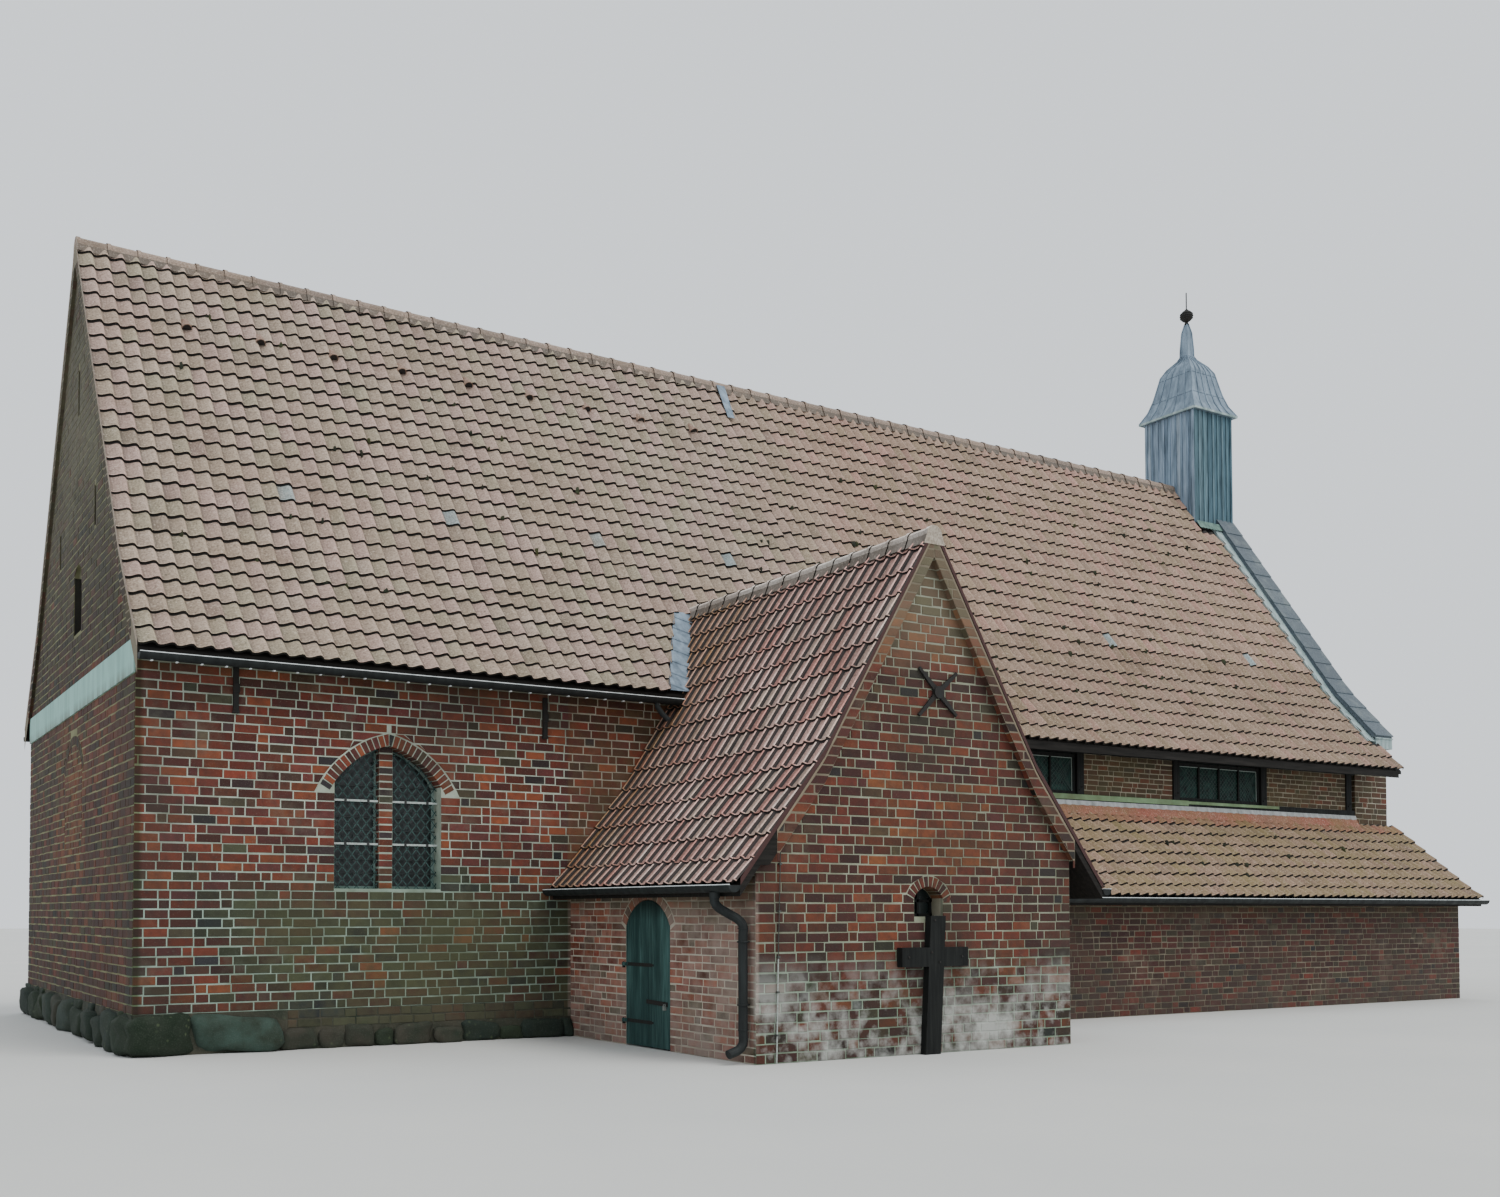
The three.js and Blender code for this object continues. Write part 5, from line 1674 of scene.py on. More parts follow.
def lay_turret_flashing():
    soup = Soup()
    slope = Slope(main_line(AISLE_SIDE_EAVE), "x", -1)
    foot = slope_places(slope, [main_top(TURRET_HALF)])[0]
    step, count = 0.05, 17
    for k in range(count):
        x0, x1 = TURRET_WEST - 0.05 + k * step, TURRET_WEST - 0.05 + (k + 1) * step
        drop0, drop1 = 0.15 + 0.02 * (k % 2), 0.15 + 0.02 * ((k + 1) % 2)
        soup.face(slope.point(x0, foot - drop0, 0.098), slope.point(x1, foot - drop1, 0.098),
                  slope.point(x1, foot + 0.03, 0.112), slope.point(x0, foot + 0.03, 0.112))
    west, y, roof = TURRET_WEST - 0.02, -TURRET_HALF - 0.006, main_top(TURRET_HALF)
    soup.face((west, y, roof + 0.02), (EAST, y, roof + 0.02), (EAST, y, roof + 0.13), (west, y, roof + 0.13))
    soup.piece("turret_flashing", "verdigris", "zinc")


COPING_TINTS = (srgb(74, 88, 98), srgb(84, 98, 106), srgb(66, 78, 88))


def lay_coping_slates():
    rng = random_source
    soup = Soup()
    line = [(3.985, main_top(3.975) + 0.225), (MAIN_BEND, main_top(MAIN_BEND) + 0.225),
            (TURRET_HALF + 0.004, main_top(TURRET_HALF) + 0.225)]
    x0, x1 = PARAPET - 0.050, EAST + 0.050
    for side in (-1, 1):
        slope = Slope(line, "x", side)
        rows = round(slope.length / 0.40)
        pitch = slope.length / rows
        for row in range(rows):
            s0, s1 = row * pitch - 0.015, (row + 1) * pitch
            tint = shade(rng.choice(COPING_TINTS), rng.uniform(0.9, 1.1))
            low, top, under, under_top = ([slope.point(x, s, h) for x in (x0, x1)] for s, h in
                                          ((s0, 0.016), (s1, 0.003), (s0, -0.004), (s1, -0.012)))
            quads = [(low[0], low[1], top[1], top[0]), (under[0], under[1], low[1], low[0]),
                     (low[0], top[0], under_top[0], under[0]), (low[1], under[1], under_top[1], top[1])]
            for index, quad in enumerate(quads):
                colour = shade(tint, 1.7) if index == 1 else tint
                soup.face(*(quad if side < 0 else quad[::-1]), tint=colour)
    soup.piece("coping_slates", "slate", "slate")


def half_ring(centre, radius, along, place, start=math.pi, end=2 * math.pi, steps=8):
    points = []
    for k in range(steps + 1):
        turn = start + (end - start) * k / steps
        u, z = centre[0] + radius * math.cos(turn), centre[1] + radius * math.sin(turn)
        points.append((place, u, z) if along == "x" else (u, place, z))
    return points


# Which way a gutter runs, its centre line, its two ends, and the side on which its rim lies.
GUTTERS = (
    ("x", (-4.2803, 4.3934), (MAIN_VERGE, -4.774), -1), ("x", (4.2803, 4.3934), (MAIN_VERGE, PARAPET), 1),
    ("x", (-5.585, 1.796), (-0.919, AISLE_END), -1), ("y", (-6.585, 1.870), (PORCH_VERGE, -3.875), -1),
    ("y", (-1.015, 1.870), (PORCH_VERGE, -5.510), 1),
)


BRACKET_RADIUS, BRACKET_HALF, BRACKET_GAP, BRACKET_SPACING = 0.0755, 0.015, 0.16, 0.75
END_PLATE_RADIUS, RIM_RADIUS = 0.074, 0.0065
PIPE = (-6.332, -7.775)


def add_gutter_fittings(dark, rims):
    """Brackets, end plates and the rolled front rim of every gutter."""
    for along, centre, (start, end), outward in GUTTERS:
        count = max(2, round((end - start) / BRACKET_SPACING))
        turns = (math.pi + BRACKET_GAP, 2 * math.pi - BRACKET_GAP)
        for k in range(count):
            place = start + (k + 0.5) * (end - start) / count
            outer = half_ring(centre, BRACKET_RADIUS, along, place - BRACKET_HALF, *turns)
            other = half_ring(centre, BRACKET_RADIUS, along, place + BRACKET_HALF, *turns)
            for a, b, c, d in zip(outer, outer[1:], other[1:], other):
                dark.face(a, b, c, d)
        for place in (start + 0.004, end - 0.004):
            ring = half_ring(centre, END_PLATE_RADIUS, along, place)
            dark.face(*ring)
        rim = (centre[0] + outward * 0.0675, centre[1] + 0.004)
        ends = [(start, rim[0], rim[1]), (end, rim[0], rim[1])]
        if along == "y":
            ends = [(rim[0], start, rim[1]), (rim[0], end, rim[1])]
        rims.tube(ends, RIM_RADIUS, 8)


def add_nave_gutter_clips(rims, spacing=0.27):
    _, centre, (start, end), _ = GUTTERS[0]
    bottom = centre[1] - BRACKET_RADIUS
    for k in range(int((end - start) / spacing)):
        place = start + (k + 0.5) * spacing
        rims.box((place - 0.012, place + 0.012), (centre[0] - 0.022, centre[0] + 0.022),
                 (bottom - 0.010, bottom), srgb(200, 206, 204))


def add_pipe_fittings(dark):
    """Clips and sleeves round the downpipe, and the outlet over it."""
    x, y = PIPE
    for z in (0.62, 1.28):
        dark.tube(ring_path((x, y, z), 0.056, 17), 0.010, 6, closed=False)
        dark.tube([(x + 0.05, y, z), (PORCH_WEST + 0.005, y, z)], 0.008, 6)
    for z in (0.36, 1.42):
        dark.tube(ring_path((x, y, z), 0.052, 17), 0.007, 6, closed=False)
    dark.tube([(-6.585, -7.625, 1.80), (-6.585, -7.625, 1.74)], 0.058, 16)


def dress_gutters():
    dark, rims = Soup(), Soup()
    add_gutter_fittings(dark, rims)
    add_nave_gutter_clips(rims)
    add_pipe_fittings(dark)
    dark.piece("gutter_fittings", "gutter", "dark_metal")
    rims.piece("gutter_rims", "rim", "dark_metal")


def add_valley_outlet():
    soup = Soup()
    soup.tube([(-5.18, -4.28, 4.335), (-5.175, -4.28, 4.28), (-5.11, -4.29, 4.19), (-5.03, -4.31, 4.11)],
              0.036, 12, closed=False)
    soup.tube([(-5.05, -4.305, 4.13), (-5.03, -4.31, 4.11)], 0.041, 12, closed=False)
    soup.piece("valley_outlet", "gutter", "zinc")


# Iron


FRONT_ANCHORS = ((-10.615, 3.87, 4.42), (-6.635, 3.82, 4.33))
STAR_CENTRE = (-3.695, 4.09)
STAR_TIPS = ((-3.975, 4.35), (-3.405, 4.33), (-3.985, 3.81), (-3.415, 3.84))


def add_anchors():
    """The straight anchors of the nave front and the four-armed one of the porch gable."""
    soup = Soup()
    front = Wall("south", SOUTH)
    for x, low, high in FRONT_ANCHORS:
        middle = (low + high) / 2
        soup.box((x - 0.030, x + 0.030), (SOUTH - 0.040, SOUTH), (low, high))
        soup.box((x - 0.038, x + 0.038), (SOUTH - 0.052, SOUTH - 0.040), (middle - 0.05, middle + 0.05))
        flat_bar(soup, front, (x, low - 0.012), (x, low + 0.02), 0.075, 0.0, 0.044)
    porch = Wall("south", PORCH_FRONT)
    centre = STAR_CENTRE
    for tip in STAR_TIPS:
        along = (tip[0] - centre[0], tip[1] - centre[1])
        for part in range(4):
            a, b = part / 4, (part + 1) / 4
            width = 0.062 - 0.009 * part
            flat_bar(soup, porch, (centre[0] + along[0] * a, centre[1] + along[1] * a),
                     (centre[0] + along[0] * b, centre[1] + along[1] * b), width, 0.008, 0.034)
    boss = [(centre[0], PORCH_FRONT - h, centre[1]) for h in (-0.002, 0.036, 0.052)]
    soup.tube(boss, 0.072, 14)
    soup.piece("wall_anchors", "iron", "dark_metal")


def add_lightning_conductor():
    """A thin rod that thickens near its foot, clipped to the porch gable."""
    soup = Soup()
    y = PORCH_FRONT - 0.022
    top, change, foot = (-5.925, y, 2.60), (-5.971, y, 1.10), (-5.998, y, 0.002)
    soup.tube([top, change], 0.005, 8, srgb(52, 56, 50))
    soup.tube([change, foot], 0.008, 8, srgb(168, 174, 168))
    for z in (0.30, 0.75, 1.12, 1.60, 2.10):
        x = -5.998 + (z / 2.6) * 0.073
        soup.box((x - 0.016, x + 0.016), (PORCH_FRONT - 0.034, PORCH_FRONT), (z - 0.010, z + 0.010),
                 srgb(60, 64, 60))
    soup.piece("lightning_conductor", "tinted_iron", "dark_metal")


CROSS_FACE = -7.9745
CROSS_NAILS = ((-3.88, 1.14), (-3.76, 1.03), (-3.83, 1.50), (-4.22, 1.09), (-3.42, 1.09))


def dress_cross():
    soup = Soup()
    for x, z in CROSS_NAILS:
        soup.tube([(x, CROSS_FACE, z), (x, CROSS_FACE - 0.010, z)], 0.013, 10)
    soup.piece("cross_nails", "iron", "dark_metal")


# Turret


# Boards of the west and east sides are tinted lighter, those of the south and north sides darker: painted
# light and shade on the turret's sides
LIT_SIDE_BOARDS = (srgb(255, 255, 255), srgb(228, 234, 240), srgb(206, 216, 224))
SHADED_SIDE_BOARDS = (srgb(154, 180, 180), srgb(138, 166, 170), srgb(166, 187, 186))
TURRET_SIDES = (
    ("west", TURRET_WEST, (-TURRET_HALF, TURRET_HALF), LIT_SIDE_BOARDS),
    ("south", -TURRET_HALF, (TURRET_WEST, EAST), SHADED_SIDE_BOARDS),
    ("north", TURRET_HALF, (-EAST, -TURRET_WEST), SHADED_SIDE_BOARDS),
    ("east", EAST, (-TURRET_HALF, TURRET_HALF), LIT_SIDE_BOARDS),
)
BOARD_COUNT = 8


def board_foot(side, u):
    """Height at which the boards of one side of the turret end over the roof."""
    return main_top(abs(u) if side in ("west", "east") else TURRET_HALF) + 0.012


def add_board(soup, wall, u0, u1, low0, low1, h0, h1, tint):
    ring = [(u0, low0), (u1, low1), (u1, TURRET_TOP), (u0, TURRET_TOP)]
    points = [wall.point(u, z, h0) for u, z in ring] + [wall.point(u, z, h1) for u, z in ring]
    faces = [(4, 5, 6, 7), (0, 1, 5, 4), (1, 2, 6, 5), (3, 0, 4, 7)]
    soup.sheet(points, faces, tint)


def lay_turret_boarding():
    """Upright boards on all four sides, a cover strip over each joint."""
    rng = random_source
    soup = Soup()
    for side, at, (start, end), tints in TURRET_SIDES:
        wall = Wall(side, at)
        width = (end - start) / BOARD_COUNT
        for k in range(BOARD_COUNT):
            u0, u1 = start + k * width + 0.004, start + (k + 1) * width - 0.004
            tint = shade(rng.choice(tints), rng.uniform(0.85, 1.1))
            under_ridge = u0 * u1 <= 0 and side in ("west", "east")
            for a, b in ((u0, 0.0), (0.0, u1)) if under_ridge else ((u0, u1),):
                add_board(soup, wall, a, b, board_foot(side, a), board_foot(side, b), 0.0, 0.008, tint)
        for k in range(BOARD_COUNT + 1):
            u = start + k * width
            half = 0.040 if k in (0, BOARD_COUNT) else 0.022
            a, b = max(u - half, start - 0.016), min(u + half, end + 0.016)
            tint = shade(rng.choice(tints), rng.uniform(0.9, 1.15))
            low_a, low_b = (board_foot(side, min(max(v, start), end)) for v in (a, b))
            add_board(soup, wall, a, b, low_a, low_b, 0.006, 0.028, tint)
    soup.piece("turret_boarding", "boards", "turret_boards")


# The cap of the turret from its edge up: half its width, height over the edge.
CAP_CURVE = [(0.700, 0.0), (0.572, 0.229), (0.492, 0.478), (0.437, 0.727), (0.385, 0.975), (0.293, 1.138),
             (0.139, 1.310), (0.097, 1.400)]
CAP_SPIRE = [(0.093, 1.568), (0.070, 1.922), (0.026, CAP_HEIGHT)]
SQUARE = ((-1, -1), (1, -1), (1, 1), (-1, 1))


def lay_cap_seams():
    """Standing seams up the four faces and hips of the cap, and two level ones round it."""
    soup = Soup()
    for cos_turn, sin_turn in ((1, 0), (0, 1), (-1, 0), (0, -1)):
        def turned(path, cos_turn=cos_turn, sin_turn=sin_turn):
            return [(TURRET_MIDDLE + a * cos_turn - b * sin_turn,
                     a * sin_turn + b * cos_turn, CAP_EDGE + rise) for a, b, rise in path]

        for share in (-0.62, -0.22, 0.22, 0.62):
            soup.tube(turned([(w + 0.006, w * share, rise) for w, rise in CAP_CURVE]), 0.012, 5)
        soup.tube(turned([(w + 0.002, w + 0.002, rise) for w, rise in CAP_CURVE + CAP_SPIRE]), 0.014, 6)
    for level in (0.42, 0.90):
        half = np.interp(level, [rise for _, rise in CAP_CURVE], [w for w, _ in CAP_CURVE]) + 0.004
        corners = [(TURRET_MIDDLE + half * a, half * b, CAP_EDGE + level) for a, b in (*SQUARE, SQUARE[0])]
        for a, b in zip(corners, corners[1:]):
            soup.tube([a, b], 0.006, 5)
    soup.piece("cap_seams", "zinc", "zinc")


def lay_cap_strip():
    """The metal strip round the eave of the cap."""
    soup = Soup()
    w = 0.706
    low, high = TURRET_TOP - 0.006, TURRET_TOP + 0.036
    corners = [(TURRET_MIDDLE + w * a, w * b) for a, b in SQUARE]
    inner = [(TURRET_MIDDLE + (w - 0.03) * a, (w - 0.03) * b) for a, b in SQUARE]
    for k in range(4):
        a, b, c, d = corners[k], corners[(k + 1) % 4], inner[(k + 1) % 4], inner[k]
        soup.face((*a, low), (*b, low), (*b, high), (*a, high))
        soup.face((*a, high), (*b, high), (*c, high + 0.012), (*d, high + 0.012))
        soup.face((*d, low), (*c, low), (*b, low), (*a, low))
    soup.piece("cap_eave_strip", "pale_zinc", "zinc")


def add_finial_rings():
    """Rings round the ball of the finial, at its collar and on top of the ball."""
    soup = Soup()
    for offset, radius in ((-0.045, 0.126), (0.0, 0.134), (0.045, 0.126)):
        soup.tube(ring_path((TURRET_MIDDLE, 0.0, BALL_Z + offset), radius, 25), 0.007, 6, closed=False)
    collar, ball_top = CAP_EDGE + CAP_HEIGHT, BALL_Z + BALL_RADIUS
    for radius, z in ((0.040, collar + 0.004), (0.030, collar + 0.030), (0.026, ball_top + 0.004)):
        soup.tube(ring_path((TURRET_MIDDLE, 0.0, z), radius, 17), 0.012, 6, closed=False)
    soup.piece("finial_rings", "iron", "dark_metal")


# Door


PLANK_WIDTHS = (0.15, 0.19, 0.16, 0.18, 0.14, 0.17)
STRAPS_Z, STRAP_SPAN, STRAP_NAILS = (0.280, 0.950), (5.277, 5.881), (5.36, 5.50, 5.64, 5.80)


def lay_door_planks():
    """Upright planks of uneven width, their edges chamfered, their tops cut to the arch."""
    rng = random_source
    planks = Soup()
    wall = Wall("west", PORCH_WEST)
    centre, half = -DOOR["y"], DOOR["half"] - 0.010
    radius, middle, _ = arch_circle(DOOR["half"], DOOR["rise"], DOOR["springing"])

    def top(u):
        return middle + math.sqrt((radius - 0.014) ** 2 - (u - centre) ** 2)

    scale = 2 * half / sum(PLANK_WIDTHS)
    u = centre - half
    for share in PLANK_WIDTHS:
        u0, u1 = u + 0.004, u + share * scale - 0.004
        u += share * scale
        tint = shade(WHITE, rng.uniform(0.75, 1.2))
        steps = [u0 + (u1 - u0) * k / 4 for k in range(5)]
        outer = [(u0, 0.018), (u1, 0.018)] + [(v, top(v)) for v in reversed(steps)]
        c = 0.004
        inner = [(min(max(a, u0 + c), u1 - c), b + c if b < 0.1 else b - c) for a, b in outer]
        size = len(outer)
        points = [wall.point(a, b, -0.002) for a, b in outer] + [wall.point(a, b, 0.003) for a, b in inner]
        faces = [tuple(range(size, 2 * size))]
        faces += [(k, (k + 1) % size, size + (k + 1) % size, size + k) for k in range(size)]
        planks.sheet(points, faces, tint)
    planks.piece("door_planks", "paint", "door_paint", body="door")


def add_door_ironwork():
    """Two straps with their nails, the bolt and its staple."""
    wall = Wall("west", PORCH_WEST)
    iron = Soup()
    u0, u1 = STRAP_SPAN
    for z in STRAPS_Z:
        flat_bar(iron, wall, (u0, z + 0.020), (u1 - 0.02, z + 0.020), 0.042, 0.0055, 0.0085)
        flat_bar(iron, wall, (u1 - 0.02, z + 0.020), (u1 + 0.012, z + 0.020), 0.026, 0.0055, 0.0080)
        for place in STRAP_NAILS:
            iron.tube([wall.point(place, z + 0.020, 0.008), wall.point(place, z + 0.020, 0.013)], 0.008, 8)
    flat_bar(iron, wall, (5.745, 0.545), (6.195, 0.530), 0.050, 0.003, 0.016)
    iron.tube([wall.point(6.150, 0.545, 0.014), wall.point(6.150, 0.545, 0.030)], 0.014, 10)
    iron.piece("door_ironwork", "iron", "dark_metal", body="door")


def add_padlock():
    wall = Wall("west", PORCH_WEST)
    lock = Soup()
    shackle = [wall.point(6.150 + 0.020 * math.cos(t), 0.512 + 0.030 * math.sin(t), 0.022)
               for t in np.linspace(0, math.pi, 9)]
    lock.tube(shackle, 0.005, 8)
    lock.box((PORCH_WEST - 0.034, PORCH_WEST - 0.012), (-6.178, -6.122), (0.462, 0.512), srgb(230, 232, 228))
    lock.piece("padlock", "bright_iron", "dark_metal", body="door")


# Boulders


def unit_ball():
    mesh = bmesh.new()
    bmesh.ops.create_icosphere(mesh, subdivisions=3, radius=1.0)
    points = np.array([v.co for v in mesh.verts])
    faces = [tuple(v.index for v in f.verts) for f in mesh.faces]
    mesh.free()
    return points, faces


BALL_POINTS, BALL_FACES = unit_ball()
STONE_TINTS = (srgb(34, 46, 34), srgb(52, 62, 56), srgb(38, 48, 42), srgb(60, 58, 50), srgb(42, 52, 36))


def add_boulder(soup, wall, u, z, size, rng, proud, tint=None):
    """A rounded, lumpy field stone of (length, depth, height), its face standing out by proud."""
    half = np.array(size) / 2
    phases = [rng.uniform(0, 6.3) for _ in range(6)]
    p = np.sign(BALL_POINTS) * np.abs(BALL_POINTS) ** 0.62
    p = np.clip(p * 1.12, -1.0, 1.0)
    wobble = (0.11 * np.sin(2.3 * p[:, 0] + phases[0]) * np.cos(1.9 * p[:, 2] + phases[1])
              + 0.08 * np.sin(3.7 * p[:, 1] + phases[2] + 2.1 * p[:, 0])
              + 0.035 * np.sin(6.1 * p[:, 0] + phases[3]) * np.sin(5.3 * p[:, 2] + phases[4]))
    rough = 0.02 * np.sin(11.0 * p[:, 0] + phases[5]) * np.sin(9.0 * p[:, 2] + 7.0 * p[:, 1] + phases[1])
    p = p * (0.90 + wobble + rough)[:, None]
    points = []
    for a, b, c in p:
        depth = min(proud, proud - half[1] + b * half[1])
        x, y, level = wall.point(u + a * half[0], max(0.0, z + c * half[2]), depth)
        x, y = max(x, WEST - FOOTING_PROUD), min(max(y, SOUTH - FOOTING_PROUD), NORTH + FOOTING_PROUD)
        points.append((x, y, level))
    colour = tint or shade(rng.choice(STONE_TINTS), rng.uniform(0.85, 1.15))
    soup.sheet(points, BALL_FACES, colour, smooth=True)


def row_of_boulders(soup, wall, start, end, sizes, rng, top=FOOTING_TOP + 0.02):
    u = start
    while u < end - 0.12:
        length = min(rng.uniform(*sizes), end - u)
        if end - u - length < 0.2:
            length = end - u
        height = rng.uniform(0.78, 1.0) * top
        add_boulder(soup, wall, u + length / 2, height / 2 - 0.01, (length * 1.06, 0.44, height * 1.04), rng,
                    FOOTING_PROUD - 0.003 - rng.uniform(0, 0.03))
        if height < top - 0.05:
            place = u + length * rng.uniform(0.3, 0.7)
            add_boulder(soup, wall, place, top - 0.07, (length * 0.55, 0.22, 0.13), rng, 0.05)
        u += length


def backing(soup, wall, start, end, top, tint):
    soup.face(wall.point(start, 0.0, 0.004), wall.point(end, 0.0, 0.004), wall.point(end, top, 0.004),
              wall.point(start, top, 0.004), tint=tint)


FOOTING_SHADE = srgb(70, 68, 58)


def lay_front_footing(rng):
    """Two large stones at the corner, then a row of small ones to the porch."""
    soup = Soup()
    front = Wall("south", SOUTH)
    add_boulder(soup, front, -11.445, 0.225, (0.86, 0.62, 0.50), rng, FOOTING_PROUD - 0.004, srgb(28, 40, 28))
    add_boulder(soup, front, -10.56, 0.215, (1.04, 0.50, 0.47), rng, FOOTING_PROUD - 0.004, srgb(60, 78, 70))
    u = -10.06
    while u < PORCH_WEST - 0.1:
        length = min(rng.uniform(0.22, 0.55), PORCH_WEST - u)
        height = rng.uniform(0.18, 0.29)
        add_boulder(soup, front, u + length / 2, height / 2 - 0.01, (length * 1.08, 0.30, height * 1.1), rng,
                    rng.uniform(0.06, 0.12))
        u += length
    backing(soup, front, WEST, PORCH_WEST, FOOTING_TOP, FOOTING_SHADE)
    soup.piece("boulders_front", "stone", "fieldstone", replaces=("footing_front",))


def lay_footings():
    rng = random_source
    lay_front_footing(rng)

    soup = Soup()
    west_wall = Wall("west", WEST)
    row_of_boulders(soup, west_wall, -NORTH - 0.10, NORTH - 0.30, (0.45, 0.95), rng)
    backing(soup, west_wall, -NORTH, NORTH, FOOTING_TOP, FOOTING_SHADE)
    soup.piece("boulders_west", "stone", "fieldstone", replaces=("footing_west",))

    soup = Soup()
    north_wall = Wall("north", NORTH)
    row_of_boulders(soup, north_wall, -10.725, -WEST + 0.10, (0.45, 0.95), rng)
    backing(soup, north_wall, -10.725, -WEST, FOOTING_TOP, FOOTING_SHADE)
    soup.piece("boulders_north", "stone", "fieldstone", replaces=("footing_north",))

    soup = Soup()
    lay_bricks(soup, Wall("south", SOUTH - 0.004), (0.25, FOOTING_TOP), lambda z: (-9.98, PORCH_WEST), [],
               plain_choice(WEATHERED), rng)
    soup.piece("low_front_bricks", "brick", "brick")


# Roof edges and fittings


def verge_band(soup, wall, line, centre, low, high, h, tint):
    """A band along both slopes of a verge, between two heights over the roof line."""
    for sign in (-1, 1):
        for (d0, z0), (d1, z1) in zip(line, line[1:]):
            u0, u1 = centre + sign * d0, centre + sign * d1
            quad = [wall.point(u0, z0 + low, h), wall.point(u1, z1 + low, h),
                    wall.point(u1, z1 + high, h), wall.point(u0, z0 + high, h)]
            soup.face(*(quad if sign < 0 else quad[::-1]), tint=tint)


def verge_soffit(soup, wall, line, centre, drop, depth, pitch, rng, choose, mortar):
    """Closes the small overhang between a gable's face and its verge from below, course by course."""
    places = [z - drop for _, z in line]
    reaches = [d for d, _ in line]
    for sign in (-1, 1):
        z = places[0]
        while z < places[-1] - 0.001:
            course = math.floor(z / pitch + 1e-6)
            joint_z = min(course * pitch + pitch - JOINT, places[-1])
            next_z = min((course + 1) * pitch, places[-1])
            # Painted light: each soffit brick is drawn 1.5 times lighter to lift the shade under the overhang
            brick = shade(brick_tint(rng, choose(centre, z, rng)), 1.5)
            for low, high, tint in ((z, joint_z, brick), (joint_z, next_z, mortar)):
                if high - low < 0.002:
                    continue
                near, far = (centre + sign * float(np.interp(v, places, reaches)) for v in (low, high))
                quad = [wall.point(near, low, 0.0), wall.point(far, high, 0.0), wall.point(far, high, -depth),
                        wall.point(near, low, -depth)]
                soup.face(*(quad[::-1] if sign < 0 else quad), tint=tint)
            z = (course + 1) * pitch


def verge_bricks(soup, wall, level, line, centre, top, bottom, rng, choose):
    """One slanting band of cut bricks along each slope of a verge, its courses level."""
    places = [z for _, z in line]
    reaches = [d for d, _ in line]
    high_z, low_z = max(places), min(places)
    for sign in (-1, 1):
        def span(z, sign=sign):
            if z > high_z - top or z < low_z - bottom + 0.04:
                return (0.0, 0.0)
            outer = float(np.interp(z + top, places, reaches))
            inner = float(np.interp(z + bottom, places, reaches)) if z + bottom < high_z else 0.0
            pair = (centre + sign * inner, centre + sign * outer)
            return (min(pair), max(pair))

        lay_bricks(soup, wall, level, span, [], choose, rng, proud=0.003)


def pulled_in_deck(name, node):
    """The roof deck of the porch as it is, its front verge set back to make room for bricks and mortar."""
    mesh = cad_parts[node].data.copy()
    for vertex in mesh.vertices:
        if vertex.co.y < PORCH_VERGE + 0.001:
            vertex.co.y = PORCH_VERGE + 0.010
    tint = mesh.color_attributes.new("tint", "FLOAT_COLOR", "CORNER")
    tint.data.foreach_set("color", np.tile(np.array(WHITE), len(mesh.loops)))
    mesh.materials.clear()
    mesh.materials.append(materials["under_roof"])
    made = bpy.data.objects.new(name, mesh)
    scene.collection.objects.link(made)
    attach(made, "building")
    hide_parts(node)


def lay_porch_verge(bedding, edges, rng):
    bricks = Soup()
    wall = Wall("south", PORCH_VERGE + 0.009)
    course = PORCH_BRICKS_TOP / PORCH_ROWS
    half_east = PORCH_EAST - PORCH_RIDGE_X
    inner_line = [(half_east, porch_top(half_east)), *PORCH_LINE[1:]]
    verge_band(edges, wall, PORCH_LINE, PORCH_RIDGE_X, -0.005, 0.070, 0.0085, srgb(60, 26, 22))
    verge_band(bedding, wall, inner_line, PORCH_RIDGE_X, -0.300, -0.050, 0.001, srgb(118, 110, 92))
    verge_band(bedding, wall, inner_line, PORCH_RIDGE_X, -0.052, -0.016, 0.002, srgb(138, 124, 104))
    verge_bricks(bricks, wall, (0.0, PORCH_BRICKS_TOP * (PORCH_ROWS + 2) / PORCH_ROWS), inner_line,
                 PORCH_RIDGE_X, 0.060, 0.300, rng, porch_gable_choice)
    verge_soffit(bricks, wall, inner_line, PORCH_RIDGE_X, 0.262, PORCH_FRONT - PORCH_VERGE, course, rng,
                 porch_gable_choice, srgb(190, 184, 164))
    bricks.piece("porch_verge_bricks", "brick", "brick")


def lay_verges():
    """Tile edge, pale bedding mortar and cut bricks along the verges of the porch and of the west gable."""
    rng = random_source
    bedding, edges = Soup(), Soup()
    pulled_in_deck("porch_deck_west", "porch_roof_west")
    pulled_in_deck("porch_deck_east", "porch_roof_east")
    lay_porch_verge(bedding, edges, rng)

    main_edge = main_line(NAVE_EAVE)
    west_wall = Wall("west", MAIN_VERGE)
    verge_band(edges, west_wall, main_edge, 0.0, -0.020, 0.075, 0.002, srgb(150, 134, 116))
    verge_band(bedding, west_wall, main_edge, 0.0, -0.304, -0.020, 0.001, srgb(120, 112, 94))
    bedding.piece("verge_bedding", "tinted_mortar", "plaster")
    edges.piece("verge_tile_edges", "porch_tile", "porch_tile")

    bricks = Soup()
    inner_edge = [(NORTH, main_top(NORTH)), *main_edge[1:]]
    verge_bricks(bricks, west_wall, (BAND[1], WEST_BRICKS_TOP), inner_edge, 0.0, 0.045, 0.302, rng,
                 west_choice)
    verge_soffit(bricks, west_wall, inner_edge, 0.0, 0.302, WEST - MAIN_VERGE, COURSE, rng, west_choice,
                 srgb(110, 104, 84))
    bricks.piece("west_verge_bricks", "brick", "brick")


